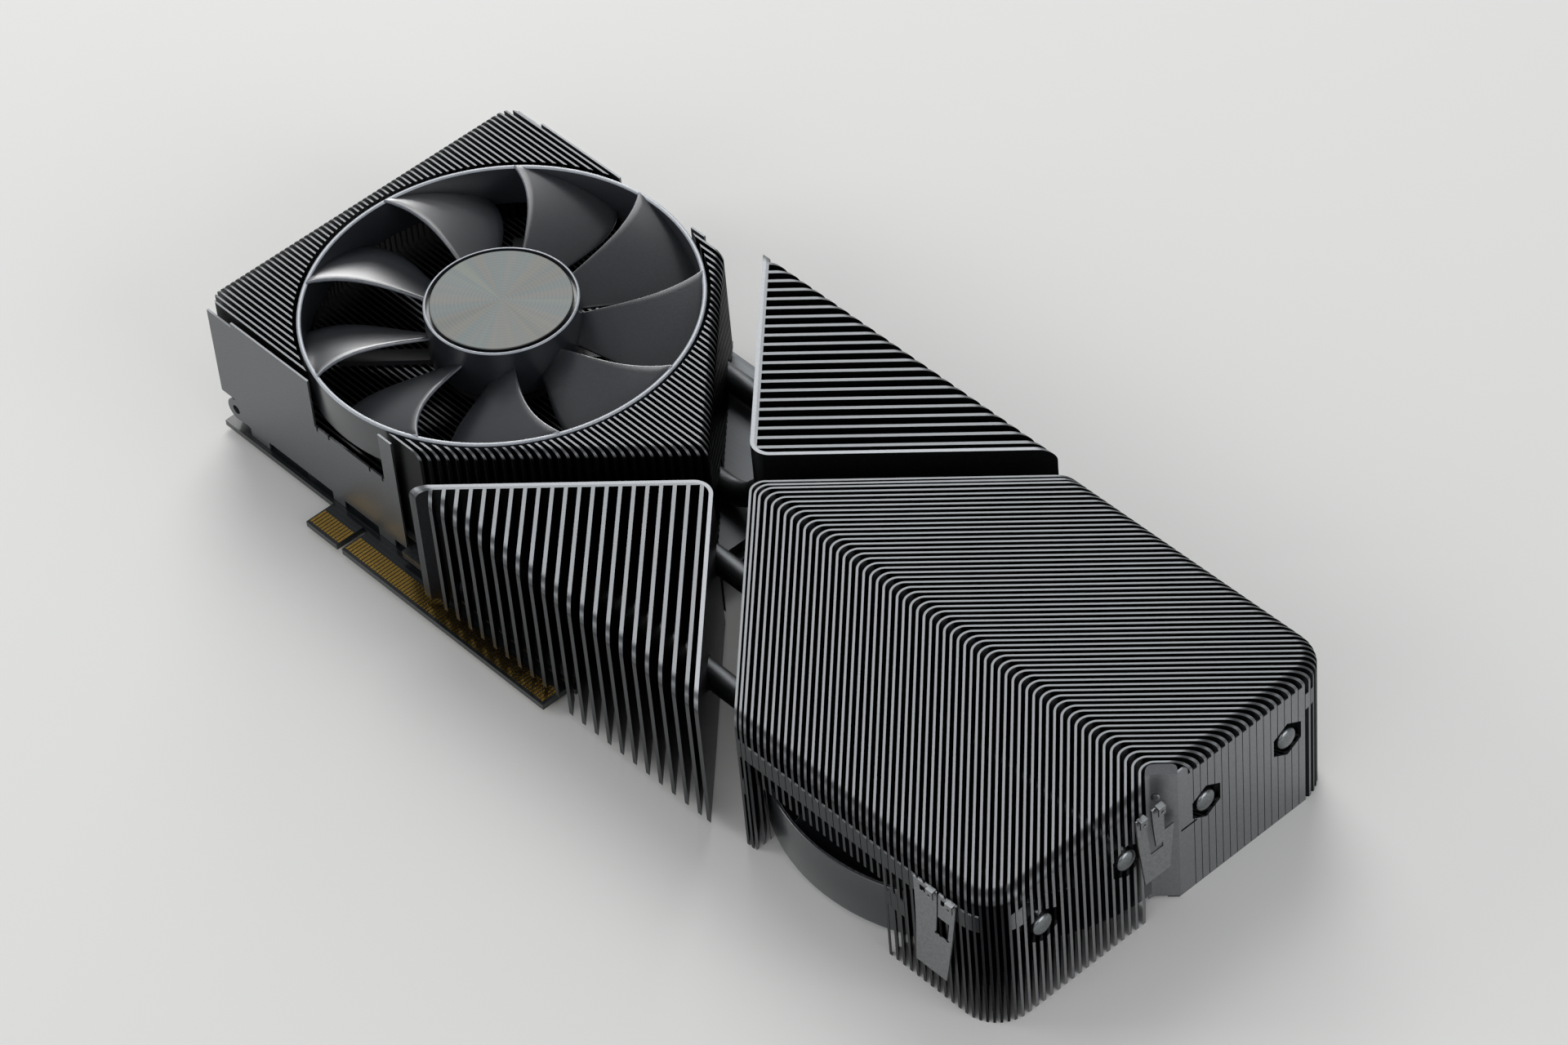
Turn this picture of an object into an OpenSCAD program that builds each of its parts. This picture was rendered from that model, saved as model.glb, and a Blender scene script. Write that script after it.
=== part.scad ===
// Two-slot graphics card with a dual-axial, flow-through cooler.
// Millimetres. +X runs from the display-output end to the far end, +Z is the
// front-fan side, and the slot edge of the circuit board faces -Y.
// The origin lies below the centre of the graphics chip, on the plane the card rests on.

/* [Overall] */
// Length of the cooler from the display-output end to the far end
cooler_len = 269; // [250:1:300]
// Depth of the cooler, which fills two slots
cooler_h = 40; // [38:0.5:50]
// Distance from the display-output end to the centre of the graphics chip
chip_from_end = 93; // [88:1:100]
// Half width of the exhaust fin stack
exhaust_half_w = 48.5; // [48:0.5:58]
// Half width of the flow-through fin stack
through_half_w = 52; // [52:0.5:60]
// Half width over the two corner fin stacks
corner_half_w = 54.6; // [54:0.2:62]
// Where the four stacks would meet, measured from the display-output end
crossing_from_end = 131.4; // [126:0.2:140]

/* [Fins] */
// Thickness of one exhaust fin
exhaust_fin_t = 0.5; // [0.3:0.05:0.8]
// Distance between exhaust fins
exhaust_pitch = 1.5; // [1.2:0.05:3]
// How far the exhaust fins reach past the side plates at the display-output end
fin_overhang = 2.6; // [0:0.1:4]
// Plan radius of the exhaust stack's two outer corners
exhaust_corner_r = 9; // [4:0.5:12]
// Thickness of one flow-through fin
through_fin_t = 0.55; // [0.3:0.05:0.8]
// Distance between flow-through fins along the card
through_pitch = 2.15; // [1.8:0.05:4]
// Distance between the first three flow-through fins along the card
lead_pitch = 1.5; // [1.3:0.05:3]
// Outer bend radius of a flow-through fin at its apex
apex_r = 3.5; // [2:0.1:6]
// Plan radius of the flow-through stack's two far corners
wall_r = 9.5; // [4:0.5:12]
// Thickness of one corner fin
corner_fin_t = 0.9; // [0.5:0.05:1.4]
// Distance between corner fins along the card
corner_pitch = 4.36; // [3:0.02:6]
// Thickness of the bent sheets round the corner stacks
frame_t = 0.95; // [0.6:0.05:1.5]
// Outer bend radius of those sheets
frame_bend_r = 4.8; // [3:0.1:8]
// Thickness of the folded feet that join the corner fins
corner_foot_t = 0.65; // [0.5:0.05:1]
// Radius that every stack has along its top edges
edge_r = 3.3; // [2:0.1:5]
// Thickness of the thin folded sheets
sheet_t = 0.5; // [0.4:0.05:0.8]

/* [Heat pipes] */
// Outside diameter of a heat pipe
pipe_d = 6; // [5:0.5:8]
// Distance of the inner pipes from the middle line
pipe_inner_y = 12; // [11:0.5:16]
// Distance of the outer pipes from the middle line
pipe_outer_y = 37; // [32:0.5:40]
// Height of the pipes in the flow-through stack
pipe_z = 24; // [22:0.5:26]
// Radius of the six-sided notch round a pipe's end
pipe_notch_r = 4.9; // [4.5:0.1:6]
// Depth of that notch
pipe_notch_d = 4.5; // [2:0.5:8]
// Bend radius of a pipe's middle line
pipe_bend_r = 14; // [12:0.5:18]
// Solder gap round a pipe
solder_gap = 0.05; // [0.02:0.01:0.1]

/* [Fans] */
// Outer radius of the front fan's ring
front_ring_r = 48.2; // [44:0.2:50]
// Outer radius of the rear fan's ring
rear_ring_r = 51.2; // [46:0.2:53]
// Height of the front fan's ring
front_ring_h = 11.5; // [8:0.5:14]
// Height of the rear fan's ring
rear_ring_h = 14.4; // [9:0.2:15]
// Wall of a fan's ring
ring_wall = 1.1; // [0.8:0.1:1.6]
// Radius of a fan's hub
hub_r = 18.2; // [16:0.2:21]
// Height of a fan's hub
hub_h = 14; // [12:0.5:16]
// Number of blades on a fan
blades = 9; // [7:1:13]
// Gap between a fan's ring and the fins round it
ring_gap = 0.9; // [0.6:0.1:1.5]
// Diameter of a fan's shaft
shaft_d = 3; // [2:0.1:4]
// Radial running clearance of the shaft in its sleeve
shaft_fit = 0.03; // [0.02:0.01:0.06]

/* [Board] */
// Thickness of the circuit board
board_t = 1.6; // [1.2:0.1:2]
// Half width of the circuit board
board_half_w = 49.5; // [46:0.5:52]
// Length of the circuit board
board_len = 128; // [120:1:129]
// Side of the square chip substrate
chip_side = 42; // [36:1:44]
// Thickness of the retention spring
spring_t = 1.2; // [0.8:0.1:1.6]
// Pitch of the contacts on the slot edge
contact_pitch = 1; // [1:0.1:1]
// Depth of the slot edge
slot_edge_d = 8.3; // [8:0.1:9]

/* [Hidden] */
$fn = 64;
eps = 0.01;
seat_gap = 0.02;
leg_tuck = 0.015;
far = 1000;

// Places along the card
end_x = -chip_from_end;
fin_end_x = end_x - fin_overhang;
far_x = end_x + cooler_len;
cross_x = end_x + crossing_from_end;
front_fan_x = end_x + front_ring_r + 2.8;
rear_fan_x = far_x - rear_ring_r - 3.8;
exhaust_apex_x = cross_x - 7.9;
corner_gap = 5.3;
through_apex_x = cross_x + 7.6;

// Heights
spring_top = spring_t;
board_z = spring_top + 0.2;
board_top = board_z + board_t;
substrate_t = 1.4;
die_t = 0.8;
paste_t = 0.1;
memory_t = 1.1;
pad_t = 0.4;
plate_z = board_top + memory_t + pad_t;
plate_t = 2;
plate_top = plate_z + plate_t;
chamber_t = 3.1;
chamber_top = plate_top + chamber_t;
foot_t = 0.4;
foot_top = chamber_top + foot_t;
pipe_r = pipe_d / 2;
pipe_low_z = foot_top + pipe_r + solder_gap;
pipe_hole_r = pipe_r + solder_gap;

// Fan stack, measured from the face that the fan's base stands on
base_t = 1.5;
hub_start = 4.5;
hub_top = hub_start + hub_h;
fan_stack = hub_top;
front_seat_z = cooler_h + 0.5 - fan_stack;
rear_seat_z = fan_stack + 0.8;
hub_wall = 1.6;
yoke_wall = 1.1;
magnet_wall = 1.3;
yoke_r = hub_r - hub_wall;
magnet_r = yoke_r - yoke_wall;
rotor_bore_r = magnet_r - magnet_wall;
stator_r = rotor_bore_r - 0.6;
sleeve_r = shaft_d / 2 + 1.1;
tube_r = sleeve_r + 1;
stator_z = hub_start + 1;
stator_h = 7;
slot_liner = 0.2;
teeth = 9;
fan_board_t = 0.8;
base_r = 16;
arm_w = 4;
arm_reach = 8;

// Contact row on the slot edge: a short and a long run, either side of the key
key_gap = 1.9;
short_run = 11;
long_run = 71;
slot_start_x = end_x + 42;
slot_end_x = slot_start_x + short_run + key_gap + long_run + 1.3;
board_x = end_x + 1;
board_end_x = board_x + board_len;

// Graphics chip neighbourhood
memory_w = 12;
memory_l = 14;
memory_off = chip_side / 2 + memory_w / 2 + 1.5;
memory_step = 16;
screw_x = chip_side / 2 + 3.5;
screw_y = chip_side / 2 + 5.5;
screw_r = 1.25;
boss_r = 2.3;
chamber_x0 = -31;
chamber_x1 = 33.5;
chamber_half_w = 44.8;

// Fasteners of the board
post_x = [-62, -8];
post_y = board_half_w - 4.5;
post_r = 2.6;
post_bore_r = 1.5;

// ---- shared shapes ----

module box(x0, x1, y0, y1, z0, z1) {
    translate([x0, y0, z0])
        cube([x1 - x0, y1 - y0, z1 - z0]);
}

module tube(r_out, r_in, z0, z1) {
    translate([0, 0, z0])
        difference() {
            cylinder(r = r_out, h = z1 - z0);
            translate([0, 0, -1])
                cylinder(r = r_in, h = z1 - z0 + 2);
        }
}

// A half plane profile whose top corner is rounded: local X is the outward
// direction, the flat side stands at x = edge, and the top lies at the cooler's top.
module edge_profile(edge, r) {
    union() {
        translate([edge - far, -far])
            square([far, far + cooler_h - r]);
        translate([edge - far, cooler_h - r - eps])
            square([far - r, r + eps]);
        translate([edge - r, cooler_h - r])
            circle(r = r);
    }
}

// Everything on the inner side of a rounded wall that faces the angle given
module inside_wall(edge, angle, r = edge_r) {
    rotate([0, 0, angle])
        rotate([90, 0, 0])
            translate([0, 0, -far / 2])
                linear_extrude(height = far)
                    edge_profile(edge, r);
}

// Plan of a block between x0 and x1 with rounded corners at both ends
module rounded_plan(x0, x1, half_w, r0, r1) {
    union() {
        translate([x0 + r0, -half_w])
            square([x1 - x0 - r0 - r1, 2 * half_w]);
        translate([x0, -half_w + r0])
            square([x1 - x0, 2 * (half_w - r0)]);
        translate([x1 - r1 - eps, -half_w + r1])
            square([r1 + eps, 2 * (half_w - r1)]);
        for (side = [-1, 1]) {
            translate([x0 + r0, side * (half_w - r0)])
                circle(r = r0);
            translate([x1 - r1, side * (half_w - r1)])
                circle(r = r1);
        }
    }
}

// Round rods of radius r along every pipe's straight run from x0 to x1
module pipe_runs(r, x0, x1) {
    for (y = pipe_rows())
        translate([x0, y, pipe_z])
            rotate([0, 90, 0])
                cylinder(r = r, h = x1 - x0);
}

function pipe_rows() = [-pipe_outer_y, -pipe_inner_y, pipe_inner_y, pipe_outer_y];

// Where each pipe starts to rise, and how far round each bend goes
pipe_drop = pipe_z - pipe_low_z;
pipe_angle = acos(1 - pipe_drop / (2 * pipe_bend_r));
pipe_rise_x = 20;
pipe_rise_len = 2 * pipe_bend_r * sin(pipe_angle);
pipe_start_x = -26;
pipe_end_x = far_x + 0.3;
pipe_seam = 0.2;

// ---- exhaust fin stack ----

module exhaust_plan() {
    intersection() {
        rounded_plan(fin_end_x, fin_end_x + far, exhaust_half_w - sheet_t, exhaust_corner_r, 1);
        polygon([
            [fin_end_x - 1, -exhaust_half_w], [exhaust_apex_x - exhaust_half_w, -exhaust_half_w],
            [exhaust_apex_x, 0],
            [exhaust_apex_x - exhaust_half_w, exhaust_half_w], [fin_end_x - 1, exhaust_half_w]
        ]);
    }
}

module exhaust_rows() {
    rows = floor((exhaust_half_w - sheet_t - exhaust_fin_t / 2 - 0.6) / exhaust_pitch);
    for (i = [-rows : rows])
        box(fin_end_x, exhaust_apex_x, i * exhaust_pitch - exhaust_fin_t / 2,
            i * exhaust_pitch + exhaust_fin_t / 2, chamber_top + eps, cooler_h);
}

module exhaust_fins() {
    color([0.24, 0.25, 0.26])
        difference() {
            intersection() {
                union() {
                    exhaust_rows();
                    box(fin_end_x, exhaust_apex_x, -exhaust_half_w, exhaust_half_w, chamber_top,
                        foot_top);
                }
                linear_extrude(height = cooler_h + 1)
                    exhaust_plan();
                inside_wall(-fin_end_x, 180);
                inside_wall(exhaust_apex_x / sqrt(2), 45, 2.4);
                inside_wall(exhaust_apex_x / sqrt(2), -45, 2.4);
            }
            translate([front_fan_x, 0, front_seat_z])
                cylinder(r = front_ring_r + ring_gap, h = far);
            pipe_slots();
            for (side = [-1, 1])
                translate([end_x + lug_x, side * (exhaust_half_w - sheet_t + 20), lug_z])
                    rotate([90, 0, 0])
                        cylinder(r = lug_r + 0.3, h = 45, center = true);
        }
}

// Slots that the low runs of the pipes lie in
module pipe_slots() {
    for (y = pipe_rows())
        box(pipe_start_x - 0.6, pipe_rise_x + pipe_rise_len, y - pipe_hole_r - 0.2,
            y + pipe_hole_r + 0.2, foot_top, pipe_low_z + pipe_hole_r + 0.2);
}

// Side plate of the exhaust stack, with the notch that the fan's ring shows through
module side_plate(side) {
    lip_x = end_x + 9.5;
    plate_end_x = end_x + 68.5;
    notch_half = 12.8;
    notch_z = cooler_h - 15;
    y_in = exhaust_half_w - sheet_t;
    low_z = side_plate_z;
    color([0.42, 0.43, 0.44])
        mirror([0, side > 0 ? 0 : 1, 0])
            difference() {
                union() {
                    box(lip_x - eps, plate_end_x, y_in, exhaust_half_w, low_z, cooler_h - 0.6);
                    box(end_x + 0.4, lip_x, y_in, exhaust_half_w, low_z + 6.5, cooler_h - 2);
                    for (t = [[lip_x + 0.6, 7], [end_x + 41, 4.5], [end_x + 58, 6]])
                        box(t[0], t[0] + t[1], y_in, exhaust_half_w, board_top + 0.1, low_z + eps);
                    lug(y_in, low_z);
                }
                box(front_fan_x - notch_half, front_fan_x + notch_half, y_in - 1,
                    exhaust_half_w + 1, notch_z, far);
                for (dx = [-notch_half + 0.5, -8, 7, notch_half - 1.1])
                    box(front_fan_x + dx, front_fan_x + dx + 0.6, y_in - 1, exhaust_half_w + 1,
                        notch_z - 1.2, notch_z + 1);
                translate([end_x + lug_x, 0, lug_z])
                    rotate([-90, 0, 0])
                        cylinder(r = bracket_screw_r, h = far);
            }
}

// Screw lug at the display-output end of a side plate
side_plate_z = plate_z + 1;
bracket_screw_r = 1.25;
lug_x = 5.2;
lug_z = side_plate_z + 3;
lug_r = 3.1;
module lug(y_in, low_z) {
    translate([end_x + lug_x, y_in - 2.2, lug_z])
        rotate([-90, 0, 0])
            cylinder(r = lug_r, h = 2.2 + sheet_t);
    box(end_x + 5.2, end_x + 9.6, y_in, y_in + sheet_t, low_z + 0.2, low_z + 7);
}

module near_side_plate() {
    side_plate(-1);
}

module far_side_plate() {
    side_plate(1);
}

// ---- corner fin stacks ----

// Plan of the wedge that a bent corner sheet encloses, for the +Y side
module wedge_plan(inset) {
    r = frame_bend_r - inset;
    cy = corner_gap + frame_bend_r * sqrt(2);
    reach = 90;
    // the legs start a hair inside the bend, so that they cross it cleanly
    k = (r - leg_tuck) / sqrt(2);
    translate([cross_x, cy])
        union() {
            circle(r = r);
            polygon([[k, -k], [k + reach, reach - k], [-k - reach, reach - k], [-k, -k]]);
        }
}

// The outer envelope of a corner stack on the +Y side
module corner_envelope(inset) {
    intersection() {
        linear_extrude(height = cooler_h)
            wedge_plan(inset);
        inside_wall(corner_half_w, 90);
    }
}

// Room under the corner stacks for the board, its plate and the vapour chamber
module corner_undercut() {
    box(-far, board_end_x + 1.2, -far, corner_half_w - 3.8, -1, chamber_top + 0.3);
    box(-far, board_end_x + 1.2, -far, far, -1, plate_z + 0.2);
    box(board_end_x, far, -far, far, -1, 2);
}

module corner_pipe_room() {
    pipe_runs(pipe_r + 0.3, pipe_rise_x, far_x);
    for (y = pipe_rows())
        box(pipe_start_x - 1, pipe_rise_x + pipe_rise_len + 2, y - pipe_r - 0.35,
            y + pipe_r + 0.35, 0, pipe_z + pipe_r + 0.35);
}

module corner_frame(inlet = false) {
    color([0.5, 0.51, 0.52])
        difference() {
            corner_envelope(0);
            translate([0, 0, -1])
                linear_extrude(height = cooler_h + 2)
                    wedge_plan(frame_t);
            corner_undercut();
            corner_pipe_room();
            if (inlet)
                inlet_room();
        }
}

module corner_fins(inlet = false) {
    count = floor((2 * (corner_half_w - corner_gap) - 7) / corner_pitch);
    leg_x = cross_x - corner_gap;
    bend_k = (frame_bend_r - frame_t - seat_gap) / sqrt(2);
    color([0.3, 0.31, 0.32])
        difference() {
            intersection() {
                corner_envelope(frame_t + seat_gap);
                union() {
                    for (k = [1 : count])
                        translate([leg_x - k * corner_pitch, 0, 0])
                            rotate([0, 0, 45])
                                box(-far / 2, far / 2, -corner_fin_t, 0, 0, cooler_h);
                    // the fins' feet, folded against the inside of the left leg
                    translate([cross_x - bend_k, corner_gap + frame_bend_r * sqrt(2) - bend_k, 0])
                        rotate([0, 0, 135])
                            box(-frame_bend_r, far, -corner_foot_t, 1, 0, cooler_h);
                }
            }
            corner_undercut();
            corner_pipe_room();
            if (inlet)
                inlet_room();
        }
}

module far_corner_frame() {
    corner_frame(inlet = true);
}

module far_corner_fins() {
    corner_fins(inlet = true);
}

module near_corner_frame() {
    mirror([0, 1, 0])
        corner_frame();
}

module near_corner_fins() {
    mirror([0, 1, 0])
        corner_fins();
}

// ---- flow-through fin stack ----

module chevron(apex, inset) {
    r = apex_r - inset;
    k = r / sqrt(2);
    reach = 120;
    translate([apex + apex_r, 0])
        union() {
            circle(r = r);
            polygon([[-k, k], [reach - k, reach + k], [reach - k, -reach - k], [-k, -k]]);
        }
}

module through_fin(apex) {
    linear_extrude(height = cooler_h)
        difference() {
            chevron(apex, 0);
            chevron(apex, through_fin_t);
        }
}

lead_fins = 3;
through_count = floor((cooler_len - chip_from_end - through_apex_x - 6.5) / through_pitch);
function apex_at(i) = i < lead_fins
    ? through_apex_x + i * lead_pitch
    : through_apex_x + lead_fins * lead_pitch + 0.6 + (i - lead_fins) * through_pitch;

// Section of a far corner: a quarter turn of it rolls the top edge round the corner
module corner_section() {
    union() {
        square([wall_r, cooler_h - edge_r]);
        square([wall_r - edge_r, cooler_h]);
        translate([wall_r - edge_r, cooler_h - edge_r])
            circle(r = edge_r);
    }
}

// The stack's outline, with its top edges rolled over along both sides and the far end
module through_envelope() {
    corner_x = far_x - wall_r;
    corner_y = through_half_w - wall_r;
    union() {
        intersection() {
            box(cross_x, corner_x, -through_half_w, through_half_w, 0, cooler_h);
            inside_wall(through_half_w, 90);
            inside_wall(through_half_w, -90);
        }
        intersection() {
            box(corner_x, far_x, -corner_y, corner_y, 0, cooler_h);
            inside_wall(far_x, 0);
        }
        translate([corner_x, corner_y, 0])
            rotate_extrude(angle = 90)
                corner_section();
        translate([corner_x, -corner_y, 0])
            rotate([0, 0, -90])
                rotate_extrude(angle = 90)
                    corner_section();
    }
}

// Where the outer face of fin i meets the side wall, and where it meets the end face
function side_x(i) = apex_at(i) + through_half_w - apex_r * (sqrt(2) - 1);
function end_y(i) = far_x - apex_at(i) + apex_r * (sqrt(2) - 1);

// Everything between the middle of fin i's sheet and the next fin, which its lips fill
module fin_band(i) {
    difference() {
        chevron(apex_at(i), through_fin_t / 2);
        if (i < through_count + 1)
            chevron(apex_at(i + 1) - lip_gap, 0);
    }
}

// A wall one sheet thick round the stack's plan
module wall_plan() {
    difference() {
        rounded_plan(cross_x, far_x, through_half_w, 1, wall_r);
        rounded_plan(cross_x - 1, far_x - sheet_t, through_half_w - sheet_t, 1, wall_r - sheet_t);
    }
}

module side_strip(x0, x1) {
    for (side = [-1, 1])
        translate([x0, side * through_half_w - (side > 0 ? sheet_t : 0)])
            square([x1 - x0, sheet_t]);
}

// Folded lips of fin i: they lock it to the next fin along the sides and close the far end
module fin_lips(i) {
    if (side_x(i) < far_x + wall_r)
        translate([0, 0, cooler_h - 11])
            linear_extrude(height = 4.7)
                intersection() {
                    fin_band(i);
                    wall_plan();
                    for (side = [-1, 1])
                        translate([cross_x, side * through_half_w - wall_r - 1])
                            square([far, 2 * wall_r + 2]);
                }
    for (run = low_lip_runs)
        if (side_x(i) > run[0] && side_x(i + 1) < run[1])
            translate([0, 0, cooler_h - 23])
                linear_extrude(height = 4.5)
                    intersection() {
                        fin_band(i);
                        side_strip(run[0], run[1]);
                    }
    if (end_y(i) < through_half_w - wall_r + 2)
        linear_extrude(height = cooler_h - edge_r)
            intersection() {
                fin_band(i);
                wall_plan();
                translate([far_x - wall_r, fold_y])
                    square([far, far]);
            }
}

// The sheet that closes the last fin: a flat beside the end lips, then a 45 degree fold
fold_y = 3.2;
fold_reach = 1.8;
fold_top_r = 1.6;
fold_end_y = far_x - apex_at(through_count + 1);
module fold_plan() {
    k = sheet_t / sqrt(2);
    polygon([
        [far_x, fold_end_y], [far_x, fold_y], [far_x - fold_reach, fold_y - fold_reach],
        [far_x - fold_reach - k, fold_y - fold_reach + k],
        [far_x - sheet_t, fold_y + sheet_t * tan(22.5)], [far_x - sheet_t, fold_end_y]
    ]);
}

module end_fold() {
    low_y = fold_y - fold_reach;
    wide = fold_end_y - low_y;
    top = cooler_h - 0.4;
    intersection() {
        linear_extrude(height = cooler_h)
            fold_plan();
        translate([far_x - wall_r, low_y, 0])
            rotate([90, 0, 90])
                linear_extrude(height = far)
                    union() {
                        square([wide, top - fold_top_r]);
                        translate([fold_top_r, 0])
                            square([wide - 2 * fold_top_r, top]);
                        for (y = [fold_top_r, wide - fold_top_r])
                            translate([y, top - fold_top_r])
                                circle(r = fold_top_r);
                    }
    }
}

lip_gap = 0.2;
rear_notch = 21.5;
low_lip_runs = [[through_apex_x + through_half_w - 4, rear_fan_x - rear_notch],
    [rear_fan_x + rear_notch, rear_fan_x + rear_notch + 7]];
module through_fins() {
    notch_top = cooler_h - 19;
    color([0.27, 0.28, 0.29])
        difference() {
            union() {
                intersection() {
                    for (i = [0 : through_count + 1])
                        union() {
                            through_fin(apex_at(i));
                            fin_lips(i);
                        }
                    through_envelope();
                }
                end_fold();
            }
            translate([rear_fan_x, 0, -1])
                cylinder(r = rear_ring_r + ring_gap, h = rear_seat_z + 1);
            for (side = [-1, 1])
                mirror([0, side > 0 ? 0 : 1, 0]) {
                    box(rear_fan_x - rear_notch, rear_fan_x + rear_notch, through_half_w - 9, far,
                        -1, notch_top);
                    box(rear_fan_x - rear_notch, rear_fan_x + rear_notch, through_half_w - 1.6, far,
                        -1, cooler_h - 11);
                }
            pipe_runs(pipe_hole_r, 0, far_x + 1);
            // a slit in the end lips, from the clip to the first pipe's notch
            box(far_x - sheet_t - 0.02, far_x + 1, fold_y + 1, pipe_inner_y - 3,
                pipe_z - 3.8, pipe_z - 3.2);
            // six-sided notches at the far end, where the pipes' ends are drawn down
            for (y = pipe_rows())
                translate([far_x - pipe_notch_d, y, pipe_z])
                    rotate([0, 90, 0])
                        cylinder(r = pipe_notch_r, h = far, $fn = 6);
        }
}

// ---- heat pipes and plates ----

module pipe_bend(angle) {
    rotate_extrude(angle = angle)
        translate([pipe_bend_r, 0])
            circle(r = pipe_r);
}

// A pipe's last straight run: its end is drawn down to a smaller radius and domed
tip_r = pipe_r * 0.72;
tip_cone = 2;
tip_len = tip_cone + 1 + tip_r;
module pipe_run_out(straight) {
    dome_z = straight + tip_cone + 1;
    rotate_extrude()
        union() {
            polygon([[0, 0], [pipe_r, 0], [pipe_r, straight], [tip_r, straight + tip_cone],
                [tip_r, dome_z], [0, dome_z]]);
            translate([0, dome_z])
                intersection() {
                    circle(r = tip_r);
                    square([tip_r, tip_r]);
                }
        }
}

module heat_pipe(y) {
    rise_x = pipe_rise_x;
    translate([0, y, 0]) {
        translate([pipe_start_x, 0, pipe_low_z])
            rotate([0, 90, 0])
                cylinder(r = pipe_r, h = rise_x - pipe_start_x);
        translate([rise_x, 0, pipe_low_z + pipe_bend_r])
            rotate([90, 0, 0])
                rotate([0, 0, -90])
                    pipe_bend(pipe_angle - pipe_seam);
        // a collar a few hundredths of a millimetre proud, where the two bends meet
        translate([rise_x + pipe_rise_len / 2, 0, (pipe_low_z + pipe_z) / 2])
            rotate([0, 90 - pipe_angle, 0])
                cylinder(r = pipe_r + 0.03, h = 0.8, center = true);
        translate([rise_x + pipe_rise_len, 0, pipe_z - pipe_bend_r])
            rotate([90, 0, 0])
                rotate([0, 0, 90])
                    pipe_bend(pipe_angle - pipe_seam);
        translate([rise_x + pipe_rise_len, 0, pipe_z])
            rotate([0, 90, 0])
                pipe_run_out(pipe_end_x - tip_len - rise_x - pipe_rise_len);
    }
}

module heat_pipes() {
    color([0.62, 0.62, 0.6])
        for (y = pipe_rows())
            heat_pipe(y);
}

module vapor_chamber() {
    color([0.72, 0.6, 0.5])
        difference() {
            union() {
                box(chamber_x0, chamber_x1, -chamber_half_w, chamber_half_w, plate_top, chamber_top);
                box(-pedestal_half, pedestal_half, -pedestal_half, pedestal_half,
                    pedestal_z, plate_top + eps);
                for (x = [-screw_x, screw_x], y = [-screw_y, screw_y])
                    translate([x, y, board_top + 0.2])
                        cylinder(r = boss_r, h = plate_top - board_top);
            }
            for (x = [-screw_x, screw_x], y = [-screw_y, screw_y])
                translate([x, y, board_top - 1])
                    cylinder(r = screw_r - 0.2 + 0.05, h = plate_top - board_top + 1);
        }
}

pedestal_half = 15;
pedestal_z = board_top + substrate_t + die_t + paste_t;

module base_plate() {
    wing_x = end_x + 69;
    half_in = exhaust_half_w - sheet_t - 0.1;
    half_out = corner_half_w - 4.2;
    color([0.2, 0.2, 0.21])
        difference() {
            union() {
                box(end_x + 24, wing_x + eps, -half_in, half_in, plate_z, plate_top);
                box(wing_x, board_end_x - 0.5, -half_out, half_out, plate_z, plate_top);
            }
            box(-chip_side / 2 - 0.6, chip_side / 2 + 0.6, -chip_side / 2 - 0.6, chip_side / 2 + 0.6,
                plate_z - 1, plate_top + 1);
            for (x = [-screw_x, screw_x], y = [-screw_y, screw_y])
                translate([x, y, plate_z - 1])
                    cylinder(r = boss_r + 0.3, h = plate_t + 2);
            for (side = [-1, 1])
                box(choke_x - 5.4, choke_x + 5.4, side * 21 - 19.5, side * 21 + 19.5,
                    plate_z - 1, plate_top + 1);
            inlet_room();
            box(-far, far, exhaust_half_w - sheet_t - 0.1, far, plate_z - 1, plate_top + 1);
        }
}

// ---- circuit board ----

choke_x = -45;
choke_step = 9.2;
stage_x = choke_x - 11;

module circuit_board() {
    color([0.05, 0.06, 0.06])
        difference() {
            union() {
                box(board_x, board_end_x, -board_half_w, board_half_w, board_z, board_top);
                box(slot_start_x, slot_end_x, -board_half_w - slot_edge_d, -board_half_w + 1,
                    board_z, board_top);
            }
            // notch in the far end of the board
            translate([board_end_x - 6, 0, 0])
                rotate([0, 0, -45])
                    box(0, far, 0, far, -1, far);
            // key slot between the short and the long run of contacts
            box(slot_start_x + short_run + 0.3, slot_start_x + short_run + 0.3 + key_gap,
                -far, -board_half_w - 0.2, -1, far);
            for (x = [-screw_x, screw_x], y = [-screw_y, screw_y])
                translate([x, y, -1])
                    cylinder(r = screw_r + 0.25, h = far);
            for (x = post_x, side = [-1, 1])
                translate([x, side * post_y, -1])
                    cylinder(r = post_bore_r, h = far);
        }
}

contact_l = 4.6;
contact_w = 0.7;
contact_t = 0.05;
module edge_contacts() {
    color([0.85, 0.68, 0.32])
        for (z = [board_z - contact_t, board_top])
            for (i = [0 : short_run + long_run - 1]) {
                x = slot_start_x + 0.45 + i * contact_pitch + (i < short_run ? 0 : key_gap + 0.3);
                box(x, x + contact_w, -board_half_w - slot_edge_d + 0.8,
                    -board_half_w - slot_edge_d + 0.8 + contact_l, z, z + contact_t);
            }
}

module chip_substrate() {
    color([0.1, 0.22, 0.16])
        box(-chip_side / 2, chip_side / 2, -chip_side / 2, chip_side / 2,
            board_top, board_top + substrate_t);
}

module chip_die() {
    color([0.35, 0.36, 0.4])
        box(-12, 12, -13, 13, board_top + substrate_t, board_top + substrate_t + die_t);
}

module thermal_paste() {
    z = board_top + substrate_t + die_t;
    color([0.6, 0.6, 0.6])
        box(-12, 12, -13, 13, z, z + paste_t);
}

// Ten places round the chip: three on each side, two above and two below
function memory_places() = concat(
    [for (s = [-1, 1], j = [-1, 0, 1]) [s * memory_off, j * memory_step, 0]],
    [for (s = [-1, 1], j = [-0.5, 0.5]) [j * memory_step, s * memory_off, 1]]);

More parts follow.
